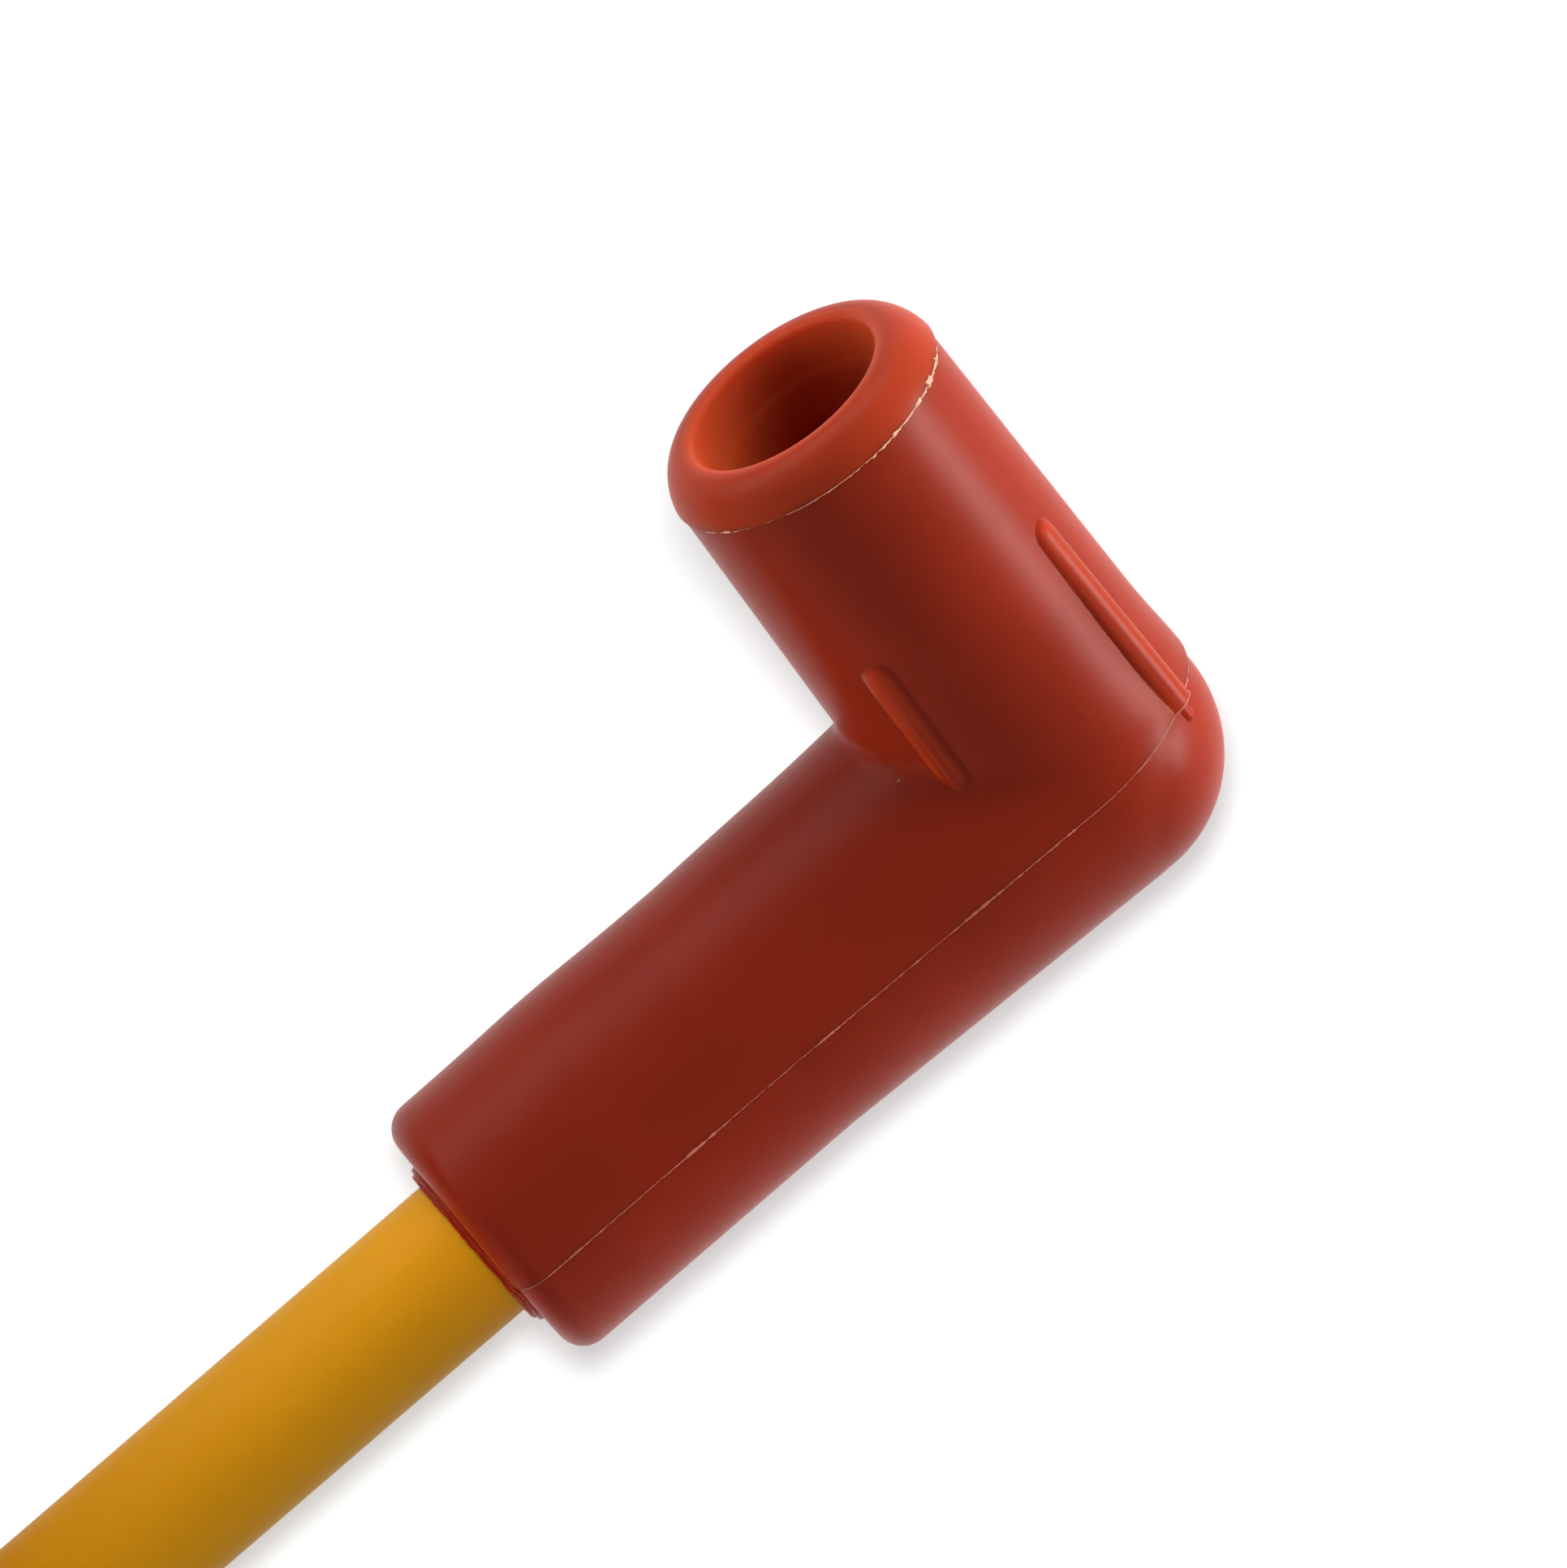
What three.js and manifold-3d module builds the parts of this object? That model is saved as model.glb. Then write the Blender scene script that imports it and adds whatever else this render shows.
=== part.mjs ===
// A spark plug lead: a moulded silicone elbow boot on a round cable, the cable's tied
// coil and the straight distributor boot on its far end. The lead lies on a surface with
// its cable leg level and its plug leg raised. +X runs along the cable leg, away from the
// cable, and +Z is up. The origin is under the middle of the elbow boot.
import * as THREE from 'three';
import { mergeVertices } from 'three/addons/utils/BufferGeometryUtils.js';
import Module from 'manifold-3d';

const wasm = await Module();
wasm.setup();

// Driving sizes, in millimetres and degrees

const roundSegments = 44;
const contactGap = 0.3;
const cutPast = 1;

const cableDiameter = 8;
const cableFit = 0.3;
const coreDiameter = 1.8;

const legAngle = 92.9;
const legLift = 27;

const elbowRadius = 8.33;
const elbowReach = 7.9;
const cornerRadius = 7.2;
const cornerWidth = 15.8;
const cornerOut = 0.85;
const cornerDrop = 1.1;
const cableLegRadius = 7.66;
const cableLegTaper = 19.7;
const cableLegLength = 37.7;
const cableLegEdge = 1.5;
const collarWidth = 0.65;
const collarHeight = 0.45;

const plugLegBaseRadius = 8.07;
const plugLegRadius = 7.67;
const plugLegLength = 24.87;
const lipRadius = 7.82;
const lipHeight = 2.12;
const lipShoulder = 1.85;
const lipTurn = 0.37;
const crownRadius = 6.1;
const mouthRadius = 5.3;
const mouthRound = 0.3;
const sealRadius = 4.6;
const sealDepth = 2.1;
const sealLength = 1.6;
const sealRelief = 0.5;

const ribWidth = 1.4;
const ribHeight = 0.6;
const outerRibAngle = 41.5;
const outerRibTop = 13;
const outerRibStub = 1;
const innerRibAngle = 129.3;
const innerRibTop = 12.95;
const innerRibRoot = 3;

const sheet = 0.5;
const barrelRoom = 0.6;
const barrelStart = 9;
const barrelLength = 12;
const barrelSlot = 1.4;
const plugNutRadius = 3.35;
const socketRoom = 1.2;
const socketStart = 5;
const socketLength = 9;
const socketSlot = 1;
const socketSlotDepth = 5;
const strapWidth = 3.6;
const strapBend = 4.4;
const strapOverlap = 1;
const clipWire = 0.6;
const clipHeight = 10.5;
const clipOpening = 60;
const crimpStep = 1.5;
const stubReach = 8;

const coilDiameter = 80;
const coilTurns = 2.5;
const coilPitch = 8.2;
const coilRoom = 0.2;
const coilEdge = 2;
const tieThickness = 1.2;
const tieWidth = 5;
const tieRoom = 0.4;
const tieEdge = 1.2;
const tieHead = { across: 7, along: 8, height: 3.6 };

const neckRadius = 7.2;
const neckLength = 23;
const skirtRadius = 10;
const skirtLength = 17;
const flareLength = 6;
const skirtWall = 2.4;
const skirtEdge = 0.8;
const cableGrip = 9;
const cableInsert = 21;
const snapRadius = 3.4;
const snapConeLength = 3;
const snapLength = 13;
const snapSlot = 1;
const snapSlotDepth = 8;

// Cable routes, chosen by hand: x and y from the middle of the elbow boot's collar,
// z from the surface that the lead lies on

const leadRoute = [
  [-0.3, 0, 8.33], [-6, 0, 8.33], [-12, 0, 8.3], [-18, 0, 8.13], [-24, 0, 7.75],
  [-30, 0, 7.2], [-36.2, 0, 6.6],
];
const coilEntry = [-62.5, 0, 5.5];
const tailRoute = [
  [-36.2, 80, 23.3], [-29, 80, 20.8], [-22, 80, 18.2], [-15, 80, 15.5], [-8, 80, 13.1],
  [-1, 80, 11.2], [5, 80, 10.25], [10.5, 80, 10], [17, 80, 10], [24, 80, 10],
  [31.5, 80, 10],
];

// Sizes that follow from the driving ones

const cableRadius = cableDiameter / 2;
const cableBore = cableRadius + cableFit;
const barrelRadius = cableBore + sheet;
const chamberRadius = barrelRadius + barrelRoom;
const barrelEnd = barrelStart + barrelLength;
const chamberEnd = barrelEnd + crimpStep;
const cableEndAt = barrelStart + crimpStep;
const collarRadius = cableBore + collarWidth;
const socketRadius = plugNutRadius + sheet;
const plugBore = socketRadius + socketRoom;
const lean = THREE.MathUtils.degToRad(legAngle - 90);
const cableAxis = new THREE.Vector3(-1, 0, 0);
const plugAxis = new THREE.Vector3(Math.sin(lean), 0, Math.cos(lean));

// Solids

function toSolid(geometry) {
  const bare = geometry.clone();
  bare.deleteAttribute('normal');
  bare.deleteAttribute('uv');
  const merged = mergeVertices(bare);
  return new wasm.Manifold(new wasm.Mesh({
    numProp: 3,
    vertProperties: new Float32Array(merged.attributes.position.array),
    triVerts: new Uint32Array(merged.index.array),
  }));
}

function toGeometry(solid) {
  const mesh = solid.getMesh();
  const geometry = new THREE.BufferGeometry();
  geometry.setAttribute('position', new THREE.BufferAttribute(mesh.vertProperties, 3));
  geometry.setIndex(new THREE.BufferAttribute(mesh.triVerts, 1));
  geometry.computeVertexNormals();
  return geometry;
}

// Turns an outline of [radius, distance along the axis] points into a round body
function revolve(points, axis, segments = roundSegments) {
  const outline = points.map(([radius, along]) => new THREE.Vector2(radius, along));
  const geometry = new THREE.LatheGeometry(outline, segments);
  const turn = new THREE.Quaternion().setFromUnitVectors(new THREE.Vector3(0, 1, 0), axis);
  return geometry.applyQuaternion(turn);
}

function arc(centre, radius, fromDegrees, toDegrees, steps) {
  return Array.from({ length: steps + 1 }, (_, step) => {
    const angle = THREE.MathUtils.degToRad(fromDegrees + (toDegrees - fromDegrees) * step / steps);
    return [centre[0] + radius * Math.cos(angle), centre[1] + radius * Math.sin(angle)];
  });
}

function bend(from, corner, to, steps) {
  const curve = new THREE.QuadraticBezierCurve(
    new THREE.Vector2(...from), new THREE.Vector2(...corner), new THREE.Vector2(...to));
  return curve.getPoints(steps).map((point) => [point.x, point.y]);
}

// A round bar along a curve, with closed ends
function bar(path, radius, sides, steps) {
  const section = new THREE.Shape();
  section.absarc(0, 0, radius, 0, 2 * Math.PI, false);
  return new THREE.ExtrudeGeometry(section, {
    extrudePath: path, steps, curveSegments: sides / 2, bevelEnabled: false,
  });
}

// A flat outline in the X-Z plane, given its width along Y
function plate(shape, width) {
  const geometry = new THREE.ExtrudeGeometry(shape, {
    depth: width, curveSegments: 8, bevelEnabled: false,
  });
  geometry.rotateX(Math.PI / 2);
  return geometry.translate(0, width / 2, 0);
}

function box(size, centre) {
  return new THREE.BoxGeometry(...size).translate(...centre);
}

// Moves a body that is modelled along +Z so that it stands on the plug leg's axis
function alongPlugAxis(geometry) {
  const turn = new THREE.Quaternion().setFromUnitVectors(new THREE.Vector3(0, 0, 1), plugAxis);
  return geometry.applyQuaternion(turn);
}

// Materials

function material(color, roughness, metalness) {
  return new THREE.MeshStandardMaterial({ color, roughness, metalness });
}

const siliconeRed = () => material(0xa03320, 0.5, 0);
const jacketAmber = () => material(0xc98d22, 0.42, 0);
const terminalBrass = () => material(0xc6a25a, 0.35, 1);
const springSteel = () => material(0xb9bcc0, 0.3, 1);
const coreGrey = () => material(0x3a3835, 0.8, 0);
const tieBlack = () => material(0x1d1d1f, 0.55, 0);

// Elbow boot, modelled with its axes crossing at the origin: the cable leg along -X and
// the plug leg along plugAxis

function cableLeg() {
  const endFace = cableLegLength + collarHeight;
  return toSolid(revolve([
    ...arc([0, 0], elbowRadius, -90, 0, 12)
      .map(([radius, along]) => [Math.max(radius, 0), along * elbowReach / elbowRadius]),
    [cableLegRadius, cableLegTaper],
    ...arc([cableLegRadius - cableLegEdge, cableLegLength - cableLegEdge], cableLegEdge, 0, 90, 5),
    [collarRadius, cableLegLength],
    [collarRadius, endFace],
    [0, endFace],
  ], cableAxis));
}

function plugLeg() {
  const lipStart = plugLegLength - lipHeight;
  const lip = bend(
    [lipRadius, lipStart],
    [lipRadius - lipTurn, lipStart + lipShoulder],
    [crownRadius, plugLegLength], 6);
  const mouth = bend(
    [crownRadius, plugLegLength],
    [mouthRadius + mouthRound / 2, plugLegLength],
    [mouthRadius, plugLegLength - mouthRound], 3);
  return toSolid(revolve([
    [0, 0],
    [plugLegBaseRadius, 0],
    [plugLegRadius, lipStart],
    ...lip,
    ...mouth.slice(1),
    [0, plugLegLength - mouthRound],
  ], plugAxis));
}

// The outside corner is fuller than the two legs alone
function corner() {
  const ball = new THREE.SphereGeometry(cornerRadius, roundSegments, roundSegments / 2);
  ball.scale(1, cornerWidth / 2 / cornerRadius, 1);
  return toSolid(ball.translate(cornerOut, 0, -cornerDrop));
}

function rib(angleDegrees, side, from, to) {
  const angle = THREE.MathUtils.degToRad(angleDegrees);
  const reach = plugLegBaseRadius + ribHeight - ribWidth / 2;
  const geometry = new THREE.CapsuleGeometry(ribWidth / 2, to - from - ribWidth, 3, 10);
  geometry.rotateX(Math.PI / 2);
  geometry.translate(reach * Math.cos(angle), side * reach * Math.sin(angle), (from + to) / 2);
  return toSolid(alongPlugAxis(geometry));
}

function cableCavity() {
  const past = cableLegLength + collarHeight + cutPast;
  return toSolid(revolve([
    ...arc([0, 0], chamberRadius, -90, 0, 8).map(([radius, along]) => [Math.max(radius, 0), along]),
    [chamberRadius, chamberEnd],
    [cableBore, chamberEnd],
    [cableBore, past],
    [0, past],
  ], cableAxis));
}

function plugCavity() {
  const sealTop = plugLegLength - sealDepth;
  const sealFoot = sealTop - sealLength;
  return toSolid(revolve([
    [0, 0],
    [plugBore, 0],
    [plugBore, sealFoot - sealRelief],
    [sealRadius, sealFoot],
    [sealRadius, sealTop],
    ...bend([sealRadius, sealTop], [mouthRadius, sealTop + mouthRound],
      [mouthRadius, plugLegLength - mouthRound], 4).slice(1),
    [mouthRadius, plugLegLength + cutPast],
    [0, plugLegLength + cutPast],
  ], plugAxis));
}

function plugBoot() {
  let solid = cableLeg().add(plugLeg()).add(corner());
  for (const side of [-1, 1]) {
    solid = solid.add(rib(outerRibAngle, side, -outerRibStub - ribWidth / 2, outerRibTop));
    solid = solid.add(rib(innerRibAngle, side, innerRibRoot, innerRibTop));
  }
  return toGeometry(solid.subtract(cableCavity()).subtract(plugCavity()));
}

// Bent terminal: a crimp barrel on the cable, a strap round the elbow and a slotted
// socket for the plug's nut

function crimpBarrel(axis, start, length) {
  const inner = barrelRadius - sheet;
  const barrel = toSolid(revolve([
    [inner, start], [barrelRadius, start], [barrelRadius, start + length],
    [inner, start + length], [inner, start],
  ], axis));
  const middle = axis.clone().multiplyScalar(start + length / 2);
  const height = barrelRadius + cutPast;
  const slot = box([length + 2 * cutPast, barrelSlot, height],
    [middle.x, middle.y, middle.z + height / 2]);
  return barrel.subtract(toSolid(slot));
}

function terminalStrap() {
  const floor = -barrelRadius;
  const centreZ = floor + strapBend;
  const centreX = (socketRadius - strapBend + centreZ * Math.sin(lean)) / Math.cos(lean);
  const across = new THREE.Vector2(Math.cos(lean), -Math.sin(lean));
  const up = new THREE.Vector2(Math.sin(lean), Math.cos(lean));
  const top = up.clone().multiplyScalar(socketStart + strapOverlap);
  const outerTop = across.clone().multiplyScalar(socketRadius).add(top);
  const innerTop = across.clone().multiplyScalar(socketRadius - sheet).add(top);
  const shape = new THREE.Shape();
  shape.moveTo(-barrelStart - strapOverlap, floor);
  shape.lineTo(centreX, floor);
  shape.absarc(centreX, centreZ, strapBend, -Math.PI / 2, -lean, false);
  shape.lineTo(outerTop.x, outerTop.y);
  shape.lineTo(innerTop.x, innerTop.y);
  shape.absarc(centreX, centreZ, strapBend - sheet, -lean, -Math.PI / 2, true);
  shape.lineTo(-barrelStart - strapOverlap, floor + sheet);
  return toSolid(plate(shape, strapWidth));
}

function plugSocket() {
  const end = socketStart + socketLength;
  const inner = socketRadius - sheet;
  const ring = toSolid(revolve([
    [inner, socketStart], [socketRadius, socketStart], [socketRadius, end],
    [inner, end], [inner, socketStart],
  ], plugAxis));
  const slot = box([socketSlot, 2 * (socketRadius + cutPast), socketSlotDepth + cutPast],
    [0, 0, end + (cutPast - socketSlotDepth) / 2]);
  return ring.subtract(toSolid(alongPlugAxis(slot)));
}

function plugTerminal() {
  const barrel = crimpBarrel(cableAxis, barrelStart, barrelLength);
  return toGeometry(barrel.add(terminalStrap()).add(plugSocket()));
}

class OpenRing extends THREE.Curve {
  constructor(radius, openingDegrees) {
    super();
    this.radius = radius;
    this.opening = THREE.MathUtils.degToRad(openingDegrees);
  }

  getPoint(t) {
    const angle = this.opening / 2 + t * (2 * Math.PI - this.opening);
    return new THREE.Vector3(this.radius * Math.cos(angle), this.radius * Math.sin(angle), 0);
  }
}

function plugClip() {
  const ring = new OpenRing(socketRadius + contactGap + clipWire / 2, clipOpening);
  const geometry = bar(ring, clipWire / 2, 8, 28);
  return alongPlugAxis(geometry.rotateZ(Math.PI / 2).translate(0, 0, clipHeight));
}

// The bared core leaves the cable's end and lies on the terminal's sheet
function coreStub(restHeight, reach) {
  return bar(new THREE.CatmullRomCurve3([
    new THREE.Vector3(contactGap, 0, 0),
    new THREE.Vector3(reach * 0.25, 0, restHeight * 0.1),
    new THREE.Vector3(reach * 0.6, 0, restHeight * 0.75),
    new THREE.Vector3(reach, 0, restHeight),
  ]), coreDiameter / 2, 8, 10);
}

function cableEnd() {
  const length = cableLegLength + collarHeight - cableEndAt;
  return revolve([[0, cableEndAt], [cableRadius, cableEndAt],
    [cableRadius, cableEndAt + length], [0, cableEndAt + length]], cableAxis, 24);
}

// Coil, tie and free stretches of the cable

function cableTube(route) {
  const points = route.map((point) => new THREE.Vector3(...point));
  const length = points.at(0).distanceTo(points.at(-1));
  const steps = Math.max(3, Math.round(length / (1.5 * cableDiameter)));
  return bar(new THREE.CatmullRomCurve3(points), cableRadius, 12, steps);
}

function roundedRectangle(path, halfWidth, low, high, edge) {
  path.moveTo(halfWidth, low + edge);
  path.lineTo(halfWidth, high - edge);
  path.absarc(halfWidth - edge, high - edge, edge, 0, Math.PI / 2, false);
  path.lineTo(-halfWidth + edge, high);
  path.absarc(-halfWidth + edge, high - edge, edge, Math.PI / 2, Math.PI, false);
  path.lineTo(-halfWidth, low + edge);
  path.absarc(-halfWidth + edge, low + edge, edge, Math.PI, 1.5 * Math.PI, false);
  path.lineTo(halfWidth - edge, low);
  path.absarc(halfWidth - edge, low + edge, edge, 1.5 * Math.PI, 2 * Math.PI, false);
  return path;
}

const coilHalfWidth = cableRadius + coilRoom;
const coilBase = coilEntry[2] - cableRadius;
const coilTop = coilEntry[2] + coilTurns * coilPitch + cableRadius;

function cableCoil() {
  const middle = coilDiameter / 2;
  const inner = middle - coilHalfWidth;
  const outer = middle + coilHalfWidth;
  return revolve([
    ...arc([outer - coilEdge, coilBase + coilEdge], coilEdge, -90, 0, 2),
    ...arc([outer - coilEdge, coilTop - coilEdge], coilEdge, 0, 90, 2),
    ...arc([inner + coilEdge, coilTop - coilEdge], coilEdge, 90, 180, 2),
    ...arc([inner + coilEdge, coilBase + coilEdge], coilEdge, 180, 270, 2),
    [outer - coilEdge, coilBase],
  ], new THREE.Vector3(0, 1, 0), 48).rotateX(Math.PI / 2);
}

function coilTie() {
  const inside = coilHalfWidth + tieRoom;
  const low = coilBase - contactGap;
  const high = coilTop + contactGap;
  const band = roundedRectangle(new THREE.Shape(), inside + tieThickness,
    low - tieThickness, high + tieThickness, tieEdge + tieThickness);
  band.holes.push(roundedRectangle(new THREE.Path(), inside, low, high, tieEdge));
  const head = box([tieHead.across, tieHead.along, tieHead.height],
    [0, 0, high + tieThickness / 2 + tieHead.height / 2]);
  return toGeometry(toSolid(plate(band, tieWidth)).add(toSolid(head)));
}

// Straight distributor boot, modelled along +X from its cable entry

const bootAxis = new THREE.Vector3(1, 0, 0);
const flareEnd = neckLength + flareLength;
const bootLength = flareEnd + skirtLength;

function distributorBoot() {
  const outside = toSolid(revolve([
    [0, 0],
    ...arc([neckRadius - cableLegEdge, cableLegEdge], cableLegEdge, -90, 0, 4),
    [neckRadius, neckLength],
    [skirtRadius, flareEnd],
    ...arc([skirtRadius - skirtEdge, bootLength - skirtEdge], skirtEdge, 0, 90, 3),
    [0, bootLength],
  ], bootAxis));
  const inside = toSolid(revolve([
    [0, -cutPast],
    [cableBore, -cutPast],
    [cableBore, cableGrip],
    [chamberRadius, cableGrip],
    [chamberRadius, neckLength],
    [skirtRadius - skirtWall, flareEnd],
    [skirtRadius - skirtWall, bootLength + cutPast],
    [0, bootLength + cutPast],
  ], bootAxis));
  return toGeometry(outside.subtract(inside));
}

function distributorTerminal() {
  const coneStart = cableInsert + crimpStep;
  const coneEnd = coneStart + snapConeLength;
  const tip = coneEnd + snapLength;
  const start = cableInsert - barrelLength + crimpStep;
  const body = toSolid(revolve([
    [cableBore, start], [barrelRadius, start], [barrelRadius, coneStart],
    [snapRadius, coneEnd], [snapRadius, tip], [snapRadius - sheet, tip],
    [snapRadius - sheet, coneEnd], [cableBore, coneStart], [cableBore, start],
  ], bootAxis));
  const slot = box([snapSlotDepth + cutPast, snapSlot, 2 * (snapRadius + cutPast)],
    [tip + (cutPast - snapSlotDepth) / 2, 0, 0]);
  return toGeometry(body.subtract(toSolid(slot)));
}

// Assembly

function piece(name, geometry, look) {
  const mesh = new THREE.Mesh(geometry, look);
  mesh.name = name;
  return mesh;
}

function elbowAssembly() {
  const group = new THREE.Group();
  const core = piece('plug_core',
    coreStub(-cableBore + contactGap + coreDiameter / 2, stubReach), coreGrey());
  core.position.x = -cableEndAt;
  group.add(
    piece('plug_boot', plugBoot(), siliconeRed()),
    piece('plug_terminal', plugTerminal(), terminalBrass()),
    piece('plug_clip', plugClip(), springSteel()),
    piece('cable_end', cableEnd(), jacketAmber()),
    core,
  );
  group.rotation.x = -THREE.MathUtils.degToRad(90 - legLift);
  group.position.z = elbowRadius;
  return group;
}

function distributorAssembly() {
  const group = new THREE.Group();
  const core = piece('distributor_core',
    coreStub(sheet - snapRadius + contactGap + coreDiameter / 2, stubReach), coreGrey());
  core.position.x = cableInsert;
  group.add(
    piece('distributor_boot', distributorBoot(), siliconeRed()),
    piece('distributor_terminal', distributorTerminal(), terminalBrass()),
    core,
  );
  const [x, y, z] = tailRoute.at(-1);
  group.position.set(x - cableInsert, y, z);
  return group;
}

function cableAssembly() {
  const group = new THREE.Group();
  const coil = piece('cable_coil', cableCoil(), jacketAmber());
  coil.position.set(coilEntry[0], coilEntry[1] + coilDiameter / 2, 0);
  const tie = piece('coil_tie', coilTie(), tieBlack());
  tie.position.set(coilEntry[0] - coilDiameter / 2, coil.position.y, 0);
  group.add(
    piece('cable_lead', cableTube(leadRoute), jacketAmber()),
    coil,
    tie,
    piece('cable_tail', cableTube(tailRoute), jacketAmber()),
    distributorAssembly(),
  );
  group.position.x = -cableLegLength - collarHeight;
  return group;
}

const elbow = elbowAssembly();
elbow.updateMatrixWorld(true);
const reach = new THREE.Box3().setFromObject(elbow, true);
const lead = new THREE.Group();
lead.add(elbow, cableAssembly());
lead.position.set(-(reach.min.x + reach.max.x) / 2, -(reach.min.y + reach.max.y) / 2, 0);

export default lead;
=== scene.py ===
import math
from types import SimpleNamespace

import bmesh
import bpy
from bpy.props import FloatProperty, FloatVectorProperty, IntProperty, PointerProperty
from mathutils import Matrix, Vector, noise
from mathutils.bvhtree import BVHTree


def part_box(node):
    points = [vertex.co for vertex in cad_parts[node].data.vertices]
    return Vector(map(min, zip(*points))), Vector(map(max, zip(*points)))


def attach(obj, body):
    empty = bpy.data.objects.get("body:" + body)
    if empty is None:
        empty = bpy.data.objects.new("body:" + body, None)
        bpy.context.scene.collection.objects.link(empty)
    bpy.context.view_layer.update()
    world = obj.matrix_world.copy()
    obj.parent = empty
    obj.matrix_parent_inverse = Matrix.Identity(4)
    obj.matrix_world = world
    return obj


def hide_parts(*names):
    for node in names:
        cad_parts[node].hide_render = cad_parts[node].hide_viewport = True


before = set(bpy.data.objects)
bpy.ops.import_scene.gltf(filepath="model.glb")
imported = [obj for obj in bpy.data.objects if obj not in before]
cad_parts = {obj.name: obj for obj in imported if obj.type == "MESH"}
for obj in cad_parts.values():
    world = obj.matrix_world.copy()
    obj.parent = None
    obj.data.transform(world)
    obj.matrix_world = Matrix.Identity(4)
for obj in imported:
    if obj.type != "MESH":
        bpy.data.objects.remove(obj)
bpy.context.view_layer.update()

bl_info = {
    "name": "Spark Plug Lead",
    "version": (1, 0, 0),
    "blender": (4, 5, 0),
    "location": "3D View > Sidebar > Plug Lead",
    "description": "Builds a silicone elbow boot on a coiled ignition cable",
    "category": "Object",
}

MM = 0.001
UP = Vector((0, 0, 1))


def length(millimetres, name, description):
    return FloatProperty(
        name=name, description=description, default=millimetres * MM,
        min=0, unit="LENGTH", precision=5)


def turn(degrees, name, description):
    return FloatProperty(
        name=name, description=description, default=math.radians(degrees), unit="ROTATION")


def share(value, name, description):
    return FloatProperty(
        name=name, description=description, default=value, min=0, max=1, subtype="FACTOR")


def colour(value, name, description):
    return FloatVectorProperty(
        name=name, description=description, default=value, size=3, min=0, max=1,
        subtype="COLOR")


# Sizes and colours that a user would change


class CableSizes(bpy.types.PropertyGroup):
    diameter: length(8, "Diameter", "Outside diameter of the cable")
    coil_diameter: length(80, "Coil diameter", "Width of the coil at the middle of its turns")
    coil_pitch: length(8.2, "Coil pitch", "Rise of the coil for each turn")
    turns: FloatProperty(
        name="Turns", description="Number of turns in the coil", default=2.5, min=0.5)
    points_per_turn: IntProperty(
        name="Points per turn", description="Curve points in each turn of the coil",
        default=24, min=12)


class BootSizes(bpy.types.PropertyGroup):
    leg_lift: turn(27, "Plug leg lift", "Angle of the plug leg above the surface")
    leg_angle: turn(92.9, "Leg angle", "Angle between the two legs")
    elbow: length(8.33, "Elbow radius", "Radius of the cable leg at the corner")
    elbow_reach: length(7.9, "Elbow reach", "How far the cable leg's round end passes the corner")
    corner: length(7.2, "Corner radius", "Radius of the full outside corner")
    corner_width: length(15.8, "Corner width", "Width of the full outside corner")
    corner_out: length(0.85, "Corner out", "Place of the outside corner along the cable leg")
    corner_drop: length(1.1, "Corner drop", "Place of the outside corner along the plug leg")
    cable_leg: length(7.66, "Cable leg radius", "Outside radius of the cable leg")
    cable_leg_taper: length(19.7, "Taper length", "Length of the taper from the corner")
    cable_leg_length: length(37.7, "Cable leg length", "From the corner to the end face")
    cable_leg_edge: length(1.5, "End edge", "Rounding of the cable leg's end")
    collar: length(4.95, "Collar radius", "Radius of the thin collar round the cable")
    collar_height: length(0.45, "Collar height", "How far the collar stands out")
    cable_bore: length(4.06, "Cable bore radius", "Radius of the hole that the cable fills")
    plug_leg_base: length(8.07, "Plug leg base radius", "Plug leg radius at the corner")
    plug_leg: length(7.67, "Plug leg radius", "Plug leg radius under the lip")
    plug_leg_length: length(24.87, "Plug leg length", "From the corner to the lip's crown")
    lip_height: length(2.12, "Lip height", "Height of the lip above its seam")
    lip_shoulder: length(1.85, "Lip shoulder", "Height at which the lip turns inwards")
    lip_turn: length(0.3, "Lip turn", "How far the lip's shoulder lies inside the leg")
    lip_step: length(0.14, "Lip step", "How far the lip stands out past the leg")
    crown: length(6.1, "Crown radius", "Radius of the lip's highest ring")
    mouth: length(5.3, "Mouth radius", "Radius of the opening")
    mouth_round: length(0.4, "Mouth rounding", "Rounding of the opening's edge")
    seal: length(4.75, "Seal radius", "Radius of the narrow ring inside the mouth")
    seal_depth: length(2.5, "Seal depth", "Depth of the narrow ring below the crown")
    seal_length: length(1.8, "Seal length", "Length of the narrow ring")
    bore: length(5.05, "Bore radius", "Radius of the bore behind the seal")
    chamber: length(5.4, "Chamber radius", "Radius of the space round the crimp")
    chamber_end: length(22.5, "Chamber length", "From the corner to the cable bore")
    seam_step: length(0.11, "Seam step", "How far the upper mould half stands out")
    rib: length(1.15, "Rib radius", "Radius of a rib's round back")
    rib_foot_height: length(0.68, "Rib foot height", "How far a rib stands out at its foot")
    rib_top_height: length(0.38, "Rib top height", "How far a rib stands out at its top")
    outer_rib_top: length(13, "Outer rib top", "Height of the outer ribs")
    inner_rib_top: length(12.95, "Inner rib top", "Height of the inner ribs")
    inner_rib_foot: length(3, "Inner rib foot", "Lower end of the inner ribs")
    outer_rib_angle: turn(40.7, "Outer rib angle", "Place of the outer ribs round the leg")
    inner_rib_angle: turn(129.3, "Inner rib angle", "Place of the inner ribs round the leg")
    grain: length(0.2, "Mesh size", "Size of the faces that the moulded body is made of")


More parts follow.
